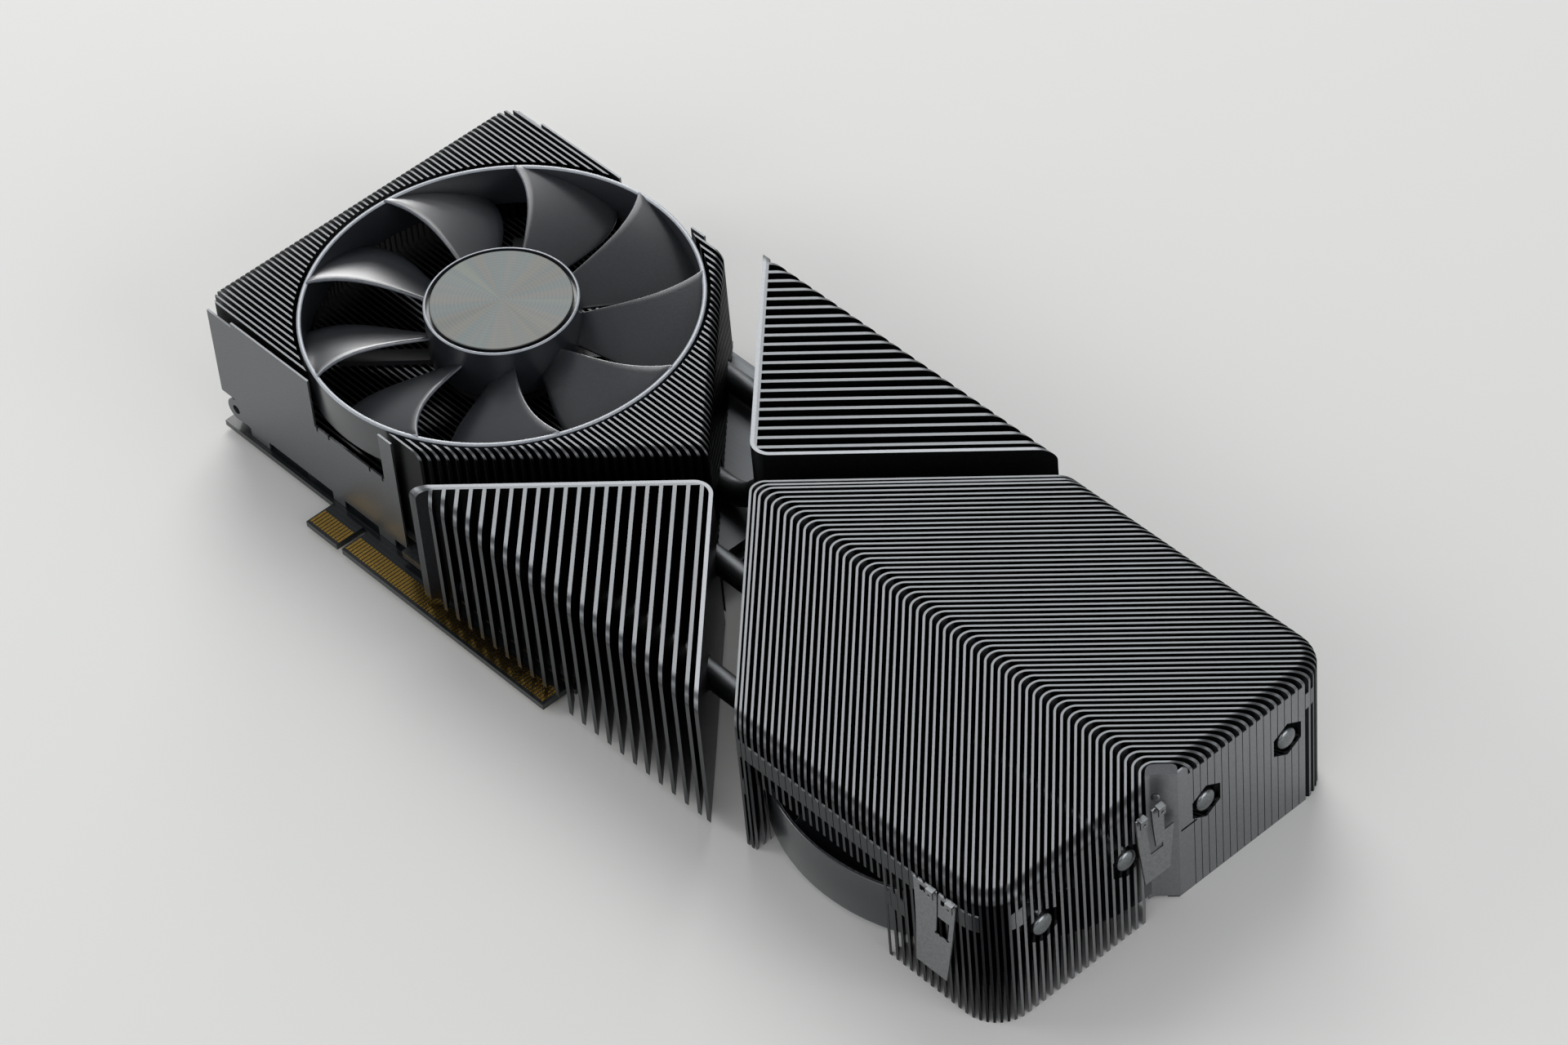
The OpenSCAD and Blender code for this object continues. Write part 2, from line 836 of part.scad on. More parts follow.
module memory_blocks(z0, z1, inset) {
    for (p = memory_places()) {
        w = (p[2] == 0 ? memory_w : memory_l) / 2 - inset;
        l = (p[2] == 0 ? memory_l : memory_w) / 2 - inset;
        box(p[0] - w, p[0] + w, p[1] - l, p[1] + l, z0, z1);
    }
}

module memory_chips() {
    color([0.08, 0.08, 0.08])
        memory_blocks(board_top, board_top + memory_t, 0);
}

module memory_pads() {
    color([0.55, 0.58, 0.62])
        memory_blocks(board_top + memory_t, plate_z, 0.5);
}

function choke_rows() = [for (s = [-1, 1], j = [0 : 3]) s * (21 + (j - 1.5) * choke_step)];

module inductors() {
    color([0.33, 0.33, 0.34])
        for (y = choke_rows())
            box(choke_x - 4.5, choke_x + 4.5, y - 4, y + 4, board_top, board_top + 6);
}

module power_stages() {
    color([0.06, 0.06, 0.07])
        for (y = choke_rows())
            box(stage_x - 2.5, stage_x + 2.5, y - 3, y + 3, board_top, board_top + 0.8);
}

module capacitors() {
    color([0.45, 0.42, 0.3])
        for (y = choke_rows(), dx = [-7, 7])
            translate([stage_x + dx * 0.72, y + dx * 0.2, board_top])
                cylinder(r = 1, h = 1.2);
}

// Twelve-contact power inlet on the long side away from the slot
inlet_x = 6;
inlet_y = board_half_w - 4.7;
inlet_w = 19;
inlet_h = 5.4;
module inlet_room() {
    box(inlet_x - inlet_w / 2 - 0.6, inlet_x + inlet_w / 2 + 0.6, inlet_y + 0.2, far,
        board_top, board_top + inlet_h + 0.4);
}

module power_connector() {
    color([0.07, 0.07, 0.07])
        difference() {
            box(inlet_x - inlet_w / 2, inlet_x + inlet_w / 2, inlet_y + 0.6, board_half_w + 3.4,
                board_top, board_top + inlet_h);
            for (i = [-2.5 : 1 : 2.5], j = [0, 1])
                box(inlet_x + i * 3 - 1.2, inlet_x + i * 3 + 1.2, inlet_y + 2, far,
                    board_top + 0.5 + j * 2.4, board_top + 2.5 + j * 2.4);
        }
}

module power_pins() {
    color([0.8, 0.7, 0.4])
        for (i = [-2.5 : 1 : 2.5], j = [0, 1])
            box(inlet_x + i * 3 - 0.4, inlet_x + i * 3 + 0.4, inlet_y + 2, board_half_w + 1.6,
                board_top + 1.1 + j * 2.4, board_top + 1.9 + j * 2.4);
}

// Display sockets under the exhaust fins
port_d = 18;
port_h = 5.6;
module port_shell(y, w) {
    difference() {
        box(end_x, end_x + port_d, y - w / 2, y + w / 2, board_top, board_top + port_h);
        box(end_x - 1, end_x + port_d - 3, y - w / 2 + 0.5, y + w / 2 - 0.5,
            board_top + 0.5, board_top + port_h - 0.5);
    }
    box(end_x + 3, end_x + port_d - 2.5, y - w / 2 + 3, y + w / 2 - 3,
        board_top + 2, board_top + 3.2);
}

module display_ports() {
    color([0.6, 0.6, 0.6])
        for (y = [-30, -8, 36])
            port_shell(y, 16);
}

module hdmi_port() {
    color([0.6, 0.6, 0.6])
        port_shell(14, 15);
}

module fan_headers() {
    color([0.9, 0.9, 0.86])
        for (y = [-board_half_w + 9, board_half_w - 13])
            difference() {
                box(end_x + 21, end_x + 27, y, y + 5, board_top, plate_z - 0.1);
                box(end_x + 21.8, end_x + 26.2, y + 0.8, y + 6, board_top + 0.4, far);
            }
}

// ---- chip retention and board fasteners ----

module retention_spring() {
    arm = sqrt(screw_x * screw_x + screw_y * screw_y);
    tilt = atan2(screw_y, screw_x);
    color([0.35, 0.35, 0.36])
        difference() {
            union() {
                cylinder(r = 13, h = spring_t);
                for (a = [tilt, 180 - tilt, 180 + tilt, -tilt])
                    rotate([0, 0, a]) {
                        box(0, arm, -4, 4, 0, spring_t);
                        translate([arm, 0, 0])
                            cylinder(r = 4, h = spring_t);
                    }
            }
            for (x = [-screw_x, screw_x], y = [-screw_y, screw_y])
                translate([x, y, 0]) {
                    translate([0, 0, -1])
                        cylinder(r = screw_r + 0.1, h = spring_t + 2);
                    translate([0, 0, -1])
                        cylinder(r = 2.5, h = 1 + 0.7);
                }
        }
}

module retention_screws() {
    color([0.3, 0.3, 0.31])
        for (x = [-screw_x, screw_x], y = [-screw_y, screw_y])
            translate([x, y, 0])
                difference() {
                    union() {
                        translate([0, 0, 0.1])
                            cylinder(r = 2.3, h = 0.6);
                        translate([0, 0, 0.6])
                            cylinder(r = screw_r - 0.2, h = plate_top - 1.2);
                    }
                    translate([0, 0, 0])
                        cylinder(r = 0.8, h = 0.5, $fn = 6);
                }
}

module board_posts() {
    color([0.6, 0.55, 0.4])
        for (x = post_x, side = [-1, 1])
            translate([x, side * post_y, 0])
                tube(post_r, post_bore_r - 0.3, board_top, plate_z);
}

module board_screws() {
    color([0.3, 0.3, 0.31])
        for (x = post_x, side = [-1, 1])
            translate([x, side * post_y, 0])
                difference() {
                    union() {
                        translate([0, 0, board_z - 1.2])
                            cylinder(r = 2.4, h = 1.2);
                        translate([0, 0, board_z - 0.1])
                            cylinder(r = post_bore_r - 0.35, h = plate_z - board_z);
                    }
                    translate([0, 0, board_z - 1.3])
                        cylinder(r = 0.9, h = 0.7, $fn = 6);
                }
}

// ---- clips for the outer frame ----

// A bent leaf clip: local X along the wall, local Y out of it, hooks at the top
module leaf_clip() {
    clip_w = 12;
    clip_h = 24;
    top = cooler_h - 5;
    difference() {
        union() {
            box(0, clip_w, 0.1, 0.9, top - clip_h, top - 6);
            for (x = [1, clip_w - 4])
                box(x, x + 2.8, 0.1, 0.9, top - 6.1, top);
        }
        box(4.4, 8.6, -1, 2, top - 17, top - 7);
        for (x = [2.4, clip_w - 2.6])
            translate([x, -1, top - 1.6])
                rotate([-90, 0, 0])
                    cylinder(r = 0.6, h = 3);
    }
}

end_clip_y = -8.6;
module side_clip() {
    color([0.45, 0.46, 0.47])
        translate([rear_fan_x + rear_notch + 10.5, -through_half_w, 0])
            mirror([0, 1, 0])
                leaf_clip();
}

module end_clip() {
    color([0.45, 0.46, 0.47])
        translate([far_x, end_clip_y, 0])
            rotate([0, 0, -90])
                mirror([1, 0, 0])
                    leaf_clip();
}

// ---- fans: every module stands on z = 0 and faces +Z ----

module fan_base(reach) {
    color([0.1, 0.1, 0.11])
        difference() {
            union() {
                cylinder(r = base_r, h = base_t);
                for (a = [0 : 3])
                    rotate([0, 0, 45 + a * 90])
                        box(0, reach, -arm_w / 2, arm_w / 2, 0, base_t);
                cylinder(r = tube_r, h = stator_z + stator_h);
            }
            translate([0, 0, base_t])
                cylinder(r = sleeve_r, h = far);
        }
}

module stator() {
    color([0.5, 0.5, 0.52])
        difference() {
            union() {
                translate([0, 0, stator_z])
                    cylinder(r = tube_r + 1.6, h = stator_h);
                for (a = [0 : teeth - 1])
                    rotate([0, 0, a * 360 / teeth]) {
                        box(tube_r + 0.8, stator_r - 0.6, -0.9, 0.9, stator_z + slot_liner,
                            stator_z + stator_h - slot_liner);
                        intersection() {
                            tube(stator_r, stator_r - 1.2, stator_z, stator_z + stator_h);
                            box(0, far, -3.2, 3.2, stator_z - 1, stator_z + stator_h + 1);
                        }
                    }
            }
            translate([0, 0, stator_z - 1])
                cylinder(r = tube_r, h = stator_h + 2);
        }
}

module coils() {
    color([0.72, 0.4, 0.2])
        for (a = [0 : teeth - 1])
            rotate([0, 0, a * 360 / teeth])
                difference() {
                    box(tube_r + 2.6, stator_r - 1.5, -1.9, 1.9, stator_z - 0.8,
                        stator_z + stator_h + 0.8);
                    box(0, far, -0.9, 0.9, stator_z, stator_z + stator_h);
                }
}

module sleeve() {
    color([0.75, 0.6, 0.3])
        tube(sleeve_r, shaft_d / 2 + shaft_fit, base_t, stator_z + stator_h - 0.4);
}

module fan_board() {
    color([0.08, 0.25, 0.15])
        tube(base_r - 2, tube_r, base_t, base_t + fan_board_t);
}

// One swept blade, as a closed grid of points: r from hub to ring, s along the chord
blade_rows = 6;
blade_cols = 6;
blade_t = 1;
blade_phase = 8.2;
function sweep(u) = 8 * pow(u, 3);
function span(u) = 20 + 11 * (1 - pow(1 - u, 2));
function dip(u) = 5.2 * pow(1 - u, 1.3);
function blade_point(hub, rim, top, drop, j, i, low) =
    let (
        u = j / blade_rows,
        s = i / blade_cols,
        r = hub + (rim - hub) * u,
        a = sweep(u) - span(u) * s,
        z = top - dip(u) - (drop - dip(u)) * (0.8 * s + 0.2 * s * s) - (low ? blade_t : 0)
    )
    [r * cos(a), r * sin(a), z];

module blade(hub, rim, top, drop) {
    n = blade_cols + 1;
    m = (blade_rows + 1) * n;
    points = [
        for (low = [false, true], j = [0 : blade_rows], i = [0 : blade_cols])
            blade_point(hub, rim, top, drop, j, i, low)
    ];
    top_faces = [
        for (j = [0 : blade_rows - 1], i = [0 : blade_cols - 1], h = [0, 1])
            let (a = j * n + i)
            h == 0 ? [a, a + n, a + 1] : [a + 1, a + n, a + n + 1]
    ];
    low_faces = [for (f = top_faces) [f[0] + m, f[2] + m, f[1] + m]];
    rim_loop = concat(
        [for (i = [0 : blade_cols]) i],
        [for (j = [1 : blade_rows]) j * n + blade_cols],
        [for (i = [1 : blade_cols]) blade_rows * n + blade_cols - i],
        [for (j = [1 : blade_rows - 1]) (blade_rows - j) * n]);
    count = len(rim_loop);
    side_faces = [
        for (k = [0 : count - 1], h = [0, 1])
            let (a = rim_loop[k], b = rim_loop[(k + 1) % count])
            h == 0 ? [a, b, b + m] : [a, b + m, a + m]
    ];
    polyhedron(points = points, faces = concat(top_faces, low_faces, side_faces));
}

module impeller(ring_r, ring_lo, ring_hi) {
    color([0.16, 0.17, 0.19])
        difference() {
            union() {
                translate([0, 0, hub_start])
                    cylinder(r = hub_r, h = hub_h - 0.6);
                tube(hub_r, hub_r - 1, hub_start + hub_h - 1, hub_top);
                tube(ring_r, ring_r - ring_wall, ring_lo, ring_hi);
                for (a = [0 : blades - 1])
                    rotate([0, 0, a * 360 / blades])
                        blade(hub_r - 0.5, ring_r - ring_wall / 2, ring_hi - 0.3,
                            ring_hi - ring_lo - blade_t - 0.8);
            }
            translate([0, 0, -1])
                cylinder(r = yoke_r, h = hub_start + hub_h - 2.4 + 1);
            translate([0, 0, -1])
                cylinder(r = shaft_d / 2, h = far);
        }
}

module yoke() {
    color([0.45, 0.45, 0.46])
        difference() {
            translate([0, 0, hub_start + 0.4])
                cylinder(r = yoke_r, h = hub_h - 2.8);
            translate([0, 0, 0])
                cylinder(r = magnet_r, h = hub_start + hub_h - 3.4);
            cylinder(r = shaft_d / 2, h = far);
        }
}

module magnet() {
    color([0.2, 0.2, 0.2])
        tube(magnet_r, rotor_bore_r, hub_start + 0.6, hub_start + 9.5);
}

module shaft() {
    color([0.75, 0.75, 0.76])
        translate([0, 0, base_t + 0.5])
            cylinder(r = shaft_d / 2, h = hub_top - 0.6 - base_t - 0.5);
}

module hub_disc() {
    color([0.6, 0.62, 0.6])
        translate([0, 0, hub_top - 0.6])
            cylinder(r = hub_r - 1.3, h = 0.7);
}

module at_front() {
    translate([front_fan_x, 0, front_seat_z])
        children();
}

module at_rear() {
    translate([rear_fan_x, 0, rear_seat_z])
        mirror([0, 0, 1])
            children();
}

front_ring_hi = cooler_h - front_seat_z;
rear_ring_hi = rear_seat_z - 0.6;
module front_fan_base() { at_front() fan_base(front_ring_r - arm_reach); }
module front_stator() { at_front() stator(); }
module front_coils() { at_front() coils(); }
module front_sleeve() { at_front() sleeve(); }
module front_fan_board() { at_front() fan_board(); }
module front_impeller() {
    at_front()
        rotate([0, 0, blade_phase])
            impeller(front_ring_r, front_ring_hi - front_ring_h, front_ring_hi);
}
module front_yoke() { at_front() yoke(); }
module front_magnet() { at_front() magnet(); }
module front_shaft() { at_front() shaft(); }
module front_hub_disc() { at_front() hub_disc(); }
module rear_fan_base() { at_rear() fan_base(rear_ring_r - arm_reach); }
module rear_stator() { at_rear() stator(); }
module rear_coils() { at_rear() coils(); }
module rear_sleeve() { at_rear() sleeve(); }
module rear_fan_board() { at_rear() fan_board(); }
module rear_impeller() {
    at_rear()
        impeller(rear_ring_r, rear_ring_hi - rear_ring_h, rear_ring_hi);
}
module rear_yoke() { at_rear() yoke(); }
module rear_magnet() { at_rear() magnet(); }
module rear_shaft() { at_rear() shaft(); }
module rear_hub_disc() { at_rear() hub_disc(); }

exhaust_fins();
near_side_plate();
far_side_plate();
near_corner_frame();
near_corner_fins();
far_corner_frame();
far_corner_fins();
through_fins();
heat_pipes();
vapor_chamber();
base_plate();
circuit_board();
edge_contacts();
chip_substrate();
chip_die();
thermal_paste();
memory_chips();
memory_pads();
inductors();
power_stages();
capacitors();
power_connector();
power_pins();
display_ports();
hdmi_port();
fan_headers();
retention_spring();
retention_screws();
board_posts();
board_screws();
side_clip();
end_clip();
front_fan_base();
front_stator();
front_coils();
front_sleeve();
front_fan_board();
front_impeller();
front_yoke();
front_magnet();
front_shaft();
front_hub_disc();
rear_fan_base();
rear_stator();
rear_coils();
rear_sleeve();
rear_fan_board();
rear_impeller();
rear_yoke();
rear_magnet();
rear_shaft();
rear_hub_disc();
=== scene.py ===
# %% [markdown]
# # A bare graphics card
#
# A graphics card without its outer frame is mostly sheet metal: three kinds of fin stack,
# two fans, four heat pipes and a few bent plates on a circuit board. The CAD model already
# holds every solid piece. This notebook gives each of them its finish, replaces the few
# whose real shape is softer than a CAD solid, and adds the small folds and parts that
# catch the light. Every length is in metres, in the frame of the CAD model: +X runs to the
# far end of the card, +Z to the face with the front fan, and -Y to the slot edge.

# %% Set-up
import math

import bmesh
import bpy
from mathutils import Matrix, Vector


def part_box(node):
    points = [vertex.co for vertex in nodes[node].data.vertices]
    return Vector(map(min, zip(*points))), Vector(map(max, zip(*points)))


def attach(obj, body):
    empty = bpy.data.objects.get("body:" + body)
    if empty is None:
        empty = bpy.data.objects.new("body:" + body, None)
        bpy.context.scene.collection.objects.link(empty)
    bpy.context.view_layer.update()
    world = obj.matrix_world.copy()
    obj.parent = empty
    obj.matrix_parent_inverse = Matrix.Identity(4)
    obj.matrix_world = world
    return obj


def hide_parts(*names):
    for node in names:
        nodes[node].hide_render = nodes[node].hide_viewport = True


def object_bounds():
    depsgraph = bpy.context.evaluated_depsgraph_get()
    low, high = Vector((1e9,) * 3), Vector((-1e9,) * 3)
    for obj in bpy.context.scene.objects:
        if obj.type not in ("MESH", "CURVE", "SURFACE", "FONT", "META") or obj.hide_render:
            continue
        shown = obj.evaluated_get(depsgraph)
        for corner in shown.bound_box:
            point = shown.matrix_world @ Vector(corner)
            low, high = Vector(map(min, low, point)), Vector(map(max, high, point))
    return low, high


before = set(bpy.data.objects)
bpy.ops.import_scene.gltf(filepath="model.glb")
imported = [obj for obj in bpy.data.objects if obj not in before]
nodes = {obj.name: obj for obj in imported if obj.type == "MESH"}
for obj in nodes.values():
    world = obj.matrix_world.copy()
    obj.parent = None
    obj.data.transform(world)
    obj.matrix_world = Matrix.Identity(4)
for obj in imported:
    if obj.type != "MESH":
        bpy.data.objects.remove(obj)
cad_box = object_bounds()
middle = (Vector(cad_box[0]) + Vector(cad_box[1])) / 2
MM = 0.001
COOLER = "cooler"
print("nodes:", len(nodes))


def node_box(name):
    """Low corner, high corner and centre of a CAD node."""
    low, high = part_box(name)
    low, high = Vector(low), Vector(high)
    return low, high, (low + high) / 2


def into_scene(name, data):
    """Makes an object of a mesh, a lamp or a camera and puts it into the scene."""
    made = bpy.data.objects.new(name, data)
    bpy.context.scene.collection.objects.link(made)
    return made


# %% [markdown]
# ## Camera
#
# The card lies on its back plate side and is seen from the far end, a little under
# forty-five degrees above the table. A long lens keeps the fins nearly parallel. The
# camera's axes are written out, because the card also leans a few degrees in the frame.

# %% Camera
camera_data = bpy.data.cameras.new("camera")
camera_data.lens = 129.8
camera_data.sensor_width = 36
camera_data.clip_end = 50
camera = into_scene("camera", camera_data)
camera_at = Vector((0.75968, -0.56102, 0.92991))
look = Vector((-0.55453, 0.44169, -0.70527)).normalized()
right = Vector((0.67398, 0.73550, -0.06930)).normalized()
up = right.cross(look)
camera.matrix_world = (Matrix.Translation(camera_at)
                       @ Matrix((right, up, -look)).transposed().to_4x4())
bpy.context.scene.camera = camera
bpy.context.scene.view_settings.view_transform = "Standard"
print("camera to card:", round((camera_at - middle).length, 2), "m")


# %% [markdown]
# ## Colours and shader nodes
#
# Colours are written as sRGB codes, as a paint program shows them, while a shader works in
# linear light, so one function turns the first into the second. Another adds a shader node
# with its settings and links, so that a material reads from its pattern to its surface.

# %% Colours and shader nodes
def srgb(code):
    """A '#rrggbb' colour as linear red, green, blue and alpha."""
    parts = [int(code[i:i + 2], 16) / 255 for i in (1, 3, 5)]
    linear = [c / 12.92 if c <= 0.04045 else ((c + 0.055) / 1.055) ** 2.4 for c in parts]
    return (*linear, 1)


def plug(tree, node, inputs):
    """Sets inputs: another node's output socket is linked, anything else is a constant."""
    for key, value in inputs.items():
        if isinstance(value, bpy.types.NodeSocket):
            tree.links.new(value, node.inputs[key])
        else:
            node.inputs[key].default_value = value


def add(tree, kind, inputs=None, stops=(), **settings):
    """Adds a shader node. A colour ramp takes stops of (position, '#rrggbb')."""
    node = tree.nodes.new("ShaderNode" + kind)
    for key, value in settings.items():
        setattr(node, key, value)
    if stops:
        elements = node.color_ramp.elements
        while len(elements) < len(stops):
            elements.new(0.5)
        for element, (position, code) in zip(elements, stops):
            element.position = position
            element.color = srgb(code)
    plug(tree, node, inputs or {})
    return node


def new_material(name):
    """An empty Principled material: the material, its node tree and its shader."""
    material = bpy.data.materials.new(name)
    material.use_nodes = True
    tree = material.node_tree
    return material, tree, tree.nodes["Principled BSDF"]


# %% [markdown]
# ## Light
#
# Bare metal shows what stands around it more than it shows its own colour, so the lamps
# are large soft panels: three beyond the display end, of which the low one glances off the
# fan blades, one past the far end for the end face, and two weak ones along the slot side.
# The pale table fills the shadows from below.

# %% Lamps
# Name, place from the middle of the card in metres, side in metres, watts.
PANELS = [
    ("overhead_panel", (-0.72, 0.58, 0.95), 0.8, 9),
    ("low_back_panel", (-1.15, 0.95, 0.3), 0.5, 6),
    ("outlet_side_panel", (-0.9, -0.75, 0.5), 0.5, 4),
    ("end_panel", (1.2, 0.15, 0.5), 0.8, 6),
    ("slot_side_panel", (0.1, -1.3, 0.55), 0.8, 3),
    ("corner_panel", (0.75, -0.95, 0.9), 0.7, 2.5),
]
for name, offset, side, watts in PANELS:
    data = bpy.data.lights.new(name, "AREA")
    data.shape = "SQUARE"
    data.size = side
    data.energy = watts
    panel = into_scene(name, data)
    panel.location = middle + Vector(offset)
    panel.rotation_euler = (middle - panel.location).to_track_quat("-Z", "Y").to_euler()
print("lamps:", len(PANELS), "with", sum(row[3] for row in PANELS), "W")

# %% World and table
world = bpy.data.worlds.new("studio")
bpy.context.scene.world = world
world.use_nodes = True
plug(world.node_tree, world.node_tree.nodes["Background"],
     {"Color": srgb("#dfe2e6"), "Strength": 0.42})

TABLE_REACH = 6
table_mesh = bmesh.new()
bmesh.ops.create_grid(table_mesh, x_segments=1, y_segments=1, size=TABLE_REACH)
table_data = bpy.data.meshes.new("table")
table_mesh.to_mesh(table_data)
table_mesh.free()
painted_table, tree, shader = new_material("pale_painted_table")
plug(tree, shader, {"Base Color": srgb("#d9d9d6"), "Roughness": 0.85})
table_data.materials.append(painted_table)
into_scene("table", table_data)
print("table:", 2 * TABLE_REACH, "m wide")


# %% [markdown]
# ## Metal finishes
#
# Most surfaces here are speckled: rolling, blasting or moulding leaves a fine random
# texture, and one noise can drive the colour, the roughness and the height together.
#
# Fin stock is thin aluminium strip, blackened before it is sheared. The faces stay dark and
# satin, while each sheared edge shows brighter bare metal, which is what draws the fine lines
# over the card. Edges that face sideways are painted darker than the top edges as painted shade,
# the lips on the end face are painted pale as painted light, and the top of the nose is painted
# dark as painted shade. The edge is found from the direction that a face looks in on the piece
# itself, so it holds from every side.

# %% Speckled surfaces
def speckled(name, roughness, grain_mm, depth_mm, stretch=(1, 1, 1)):
    """Starts a material whose roughness and height follow noise with cells of grain_mm."""
    material, tree, shader = new_material(name)
    place = add(tree, "TexCoord").outputs["Object"]
    turned = add(tree, "Mapping", {"Vector": place, "Scale": stretch}).outputs["Vector"]
    speckle = add(tree, "TexNoise", {
        "Vector": turned, "Scale": 1 / (grain_mm * MM), "Detail": 3.0, "Roughness": 0.6,
    }).outputs["Fac"]
    rough = add(tree, "MapRange", {
        "Value": speckle, "From Min": 0.3, "From Max": 0.7,
        "To Min": roughness[0], "To Max": roughness[1],
    }).outputs["Result"]
    relief = add(tree, "Bump", {"Height": speckle, "Distance": depth_mm * MM})
    plug(tree, shader, {"Roughness": rough, "Normal": relief.outputs["Normal"]})
    return material, tree, shader, speckle


# %% Fin stock
EDGE_FADE = 0.15


def edge_factor(tree, axis, limit):
    """1 on faces that look along an axis more than the limit, else 0."""
    looks = add(tree, "SeparateXYZ", {"Vector": add(tree, "TexCoord").outputs["Normal"]})
    size = add(tree, "Math", {0: looks.outputs[axis]}, operation="ABSOLUTE").outputs[0]
    return add(tree, "MapRange", {
        "Value": size, "From Min": limit, "From Max": min(limit + EDGE_FADE, 1.0),
    }).outputs["Result"]


def fin_stock(name, face, *edges):
    """Blackened strip with an (axis, limit, tones) for each kind of edge or face with its own
    tone: bare edges, painted light and painted shade.
    """
    material, tree, shader, speckle = speckled(name, (0.36, 0.44), 0.6, 0.002)
    color = add(tree, "ValToRGB", {"Fac": speckle},
                stops=[(0.35, face[0]), (0.65, face[1])]).outputs["Color"]
    for axis, limit, tones in edges:
        tone = add(tree, "ValToRGB", {"Fac": speckle},
                   stops=[(0.35, tones[0]), (0.65, tones[1])]).outputs["Color"]
        # In a colour Mix node the two colours are inputs 6 and 7, and the result output 2.
        color = add(tree, "Mix", {0: edge_factor(tree, axis, limit), 6: color, 7: tone},
                    data_type="RGBA").outputs[2]
    plug(tree, shader, {"Base Color": color, "Metallic": 0.9})
    return material


# Tones for faces and edges: the edges are bare metal, the side edges are darker than the top
# edges as painted shade, the lip faces are pale as painted light, and the turned-up top is dark
# as painted shade.
strip_face = ("#17181a", "#1f2023")
sheet_face = ("#232426", "#2c2d30")
side_edge = ("#484a4c", "#505254")
shaded_side_edge = ("#3e4042", "#46484a")
top_edge = ("#5c5e60", "#66686a")
frame_top = ("#6e7072", "#7a7c7f")
painted_light_lip_face = ("#808285", "#8a8c8f")
painted_shade_turned_top = ("#303133", "#38393b")
# Straight fins: the rolled top edges and the fronts are bright lines on black, with the fronts
# painted darker than the tops as painted shade.
exhaust_strip = fin_stock("blackened_exhaust_strip", strip_face,
                          ("X", 0.8, side_edge), ("Z", 0.25, top_edge))
# Chevron sheets: the lips on the end face are painted pale as painted light and close into one
# pale grey wall, and the side edges are painted darker as painted shade.
chevron_strip = fin_stock("blackened_chevron_strip", strip_face,
                          ("Y", 0.9, shaded_side_edge), ("X", 0.9, painted_light_lip_face),
                          ("Z", 0.25, top_edge))
# Corner stacks: the side edges are painted darker than the tops as painted shade.
corner_strip = fin_stock("blackened_corner_strip", strip_face,
                         ("Y", 0.9, side_edge), ("Z", 0.25, top_edge))
# The frame of a corner stack is thicker, and its rim is the palest line of all; its side edges
# are painted darker as painted shade.
corner_sheet = fin_stock("blackened_corner_sheet", sheet_face,
                         ("Y", 0.9, side_edge), ("Z", 0.3, frame_top))
# The nose of the innermost sheet is painted as pale as the lips, as painted light, and dark
# where it faces up, as painted shade.
folded_strip = fin_stock("blackened_folded_strip", painted_light_lip_face, ("Z", 0.5, painted_shade_turned_top))
print("fin finishes:", sum(m.name.startswith("blackened") for m in bpy.data.materials))


# %% [markdown]
# The side plates, clips and pipes are plain metals. Their finish is described by how they
# were made: rolled and bead blasted, tumbled, or plated with nickel over drawn copper.

# %% Plain metals
def plain(name, low, high, rough_low, rough_high, grain_mm, depth_mm, inputs,
          stretch=(1, 1, 1)):
    """One material all over, between two tones and two roughnesses."""
    material, tree, shader, speckle = speckled(name, (rough_low, rough_high), grain_mm,
                                               depth_mm, stretch)
    color = add(tree, "ValToRGB", {"Fac": speckle}, stops=[(0.3, low), (0.7, high)])
    plug(tree, shader, {"Base Color": color.outputs["Color"], **inputs})
    return material


METAL = {"Metallic": 1.0}
DRAWN = (0.1, 1, 1)
STACKED = (0.05, 0.05, 1)
WOUND = (1, 1, 4)
# Blasted sheet scatters evenly, so it looks like grey paper.
side_sheet = plain("blasted_aluminium_sheet", "#6c6e70", "#7d7f82",
                   0.42, 0.52, 0.5, 0.006, METAL)
# A casting is coarser and duller than sheet.
die_casting = plain("blackened_die_casting", "#4a4c4e", "#5a5c5f",
                    0.45, 0.6, 0.9, 0.012, METAL)
# Tumbling rounds the burrs and leaves a soft shine.
clip_steel = plain("tumbled_spring_steel", "#77797b", "#8c8e90",
                   0.3, 0.42, 0.6, 0.004, METAL)
# Nickel is warm and bright on the polished tips; the bent pipes and the vapour chamber get a
# darker, rougher copy of it, and its darkening is painted shade.
nickel = plain("nickel_plate_on_copper", "#6f7274", "#84878a",
               0.24, 0.34, 0.4, 0.002, METAL, DRAWN)
painted_shade_nickel = plain("nickel_on_copper_painted_shade", "#4b4d4f", "#5a5c5e",
                    0.4, 0.5, 0.4, 0.002, METAL, DRAWN)
# Stamped shells keep the mirror of the rolled strip, a little broken.
shell_steel = plain("stamped_port_shell", "#9c9d9e", "#b2b3b4",
                    0.28, 0.38, 0.5, 0.002, METAL)
# Phosphate and black zinc are grey-black and matt to satin.
dark_spring = plain("phosphated_spring_steel", "#4c4d4f", "#5d5e60",
                    0.4, 0.52, 0.5, 0.005, METAL)
black_zinc = plain("black_zinc_screw", "#3a3b3d", "#4a4b4e",
                   0.32, 0.45, 0.3, 0.002, METAL)
# A ground shaft is the brightest metal inside the fan.
ground_steel = plain("ground_steel_shaft", "#a8a9ab", "#bcbdbf",
                     0.18, 0.26, 0.2, 0.001, METAL)
# Stacked sheets show as fine lines round the stator.
laminations = plain("silicon_steel_laminations", "#5f6062", "#76777a",
                    0.4, 0.5, 0.35, 0.02, METAL, STACKED)
# Enamel over copper gives a warm, slightly glossy thread.
copper_wire = plain("enamelled_copper_winding", "#9a5226", "#b8683a",
                    0.3, 0.42, 0.25, 0.05, METAL, WOUND)
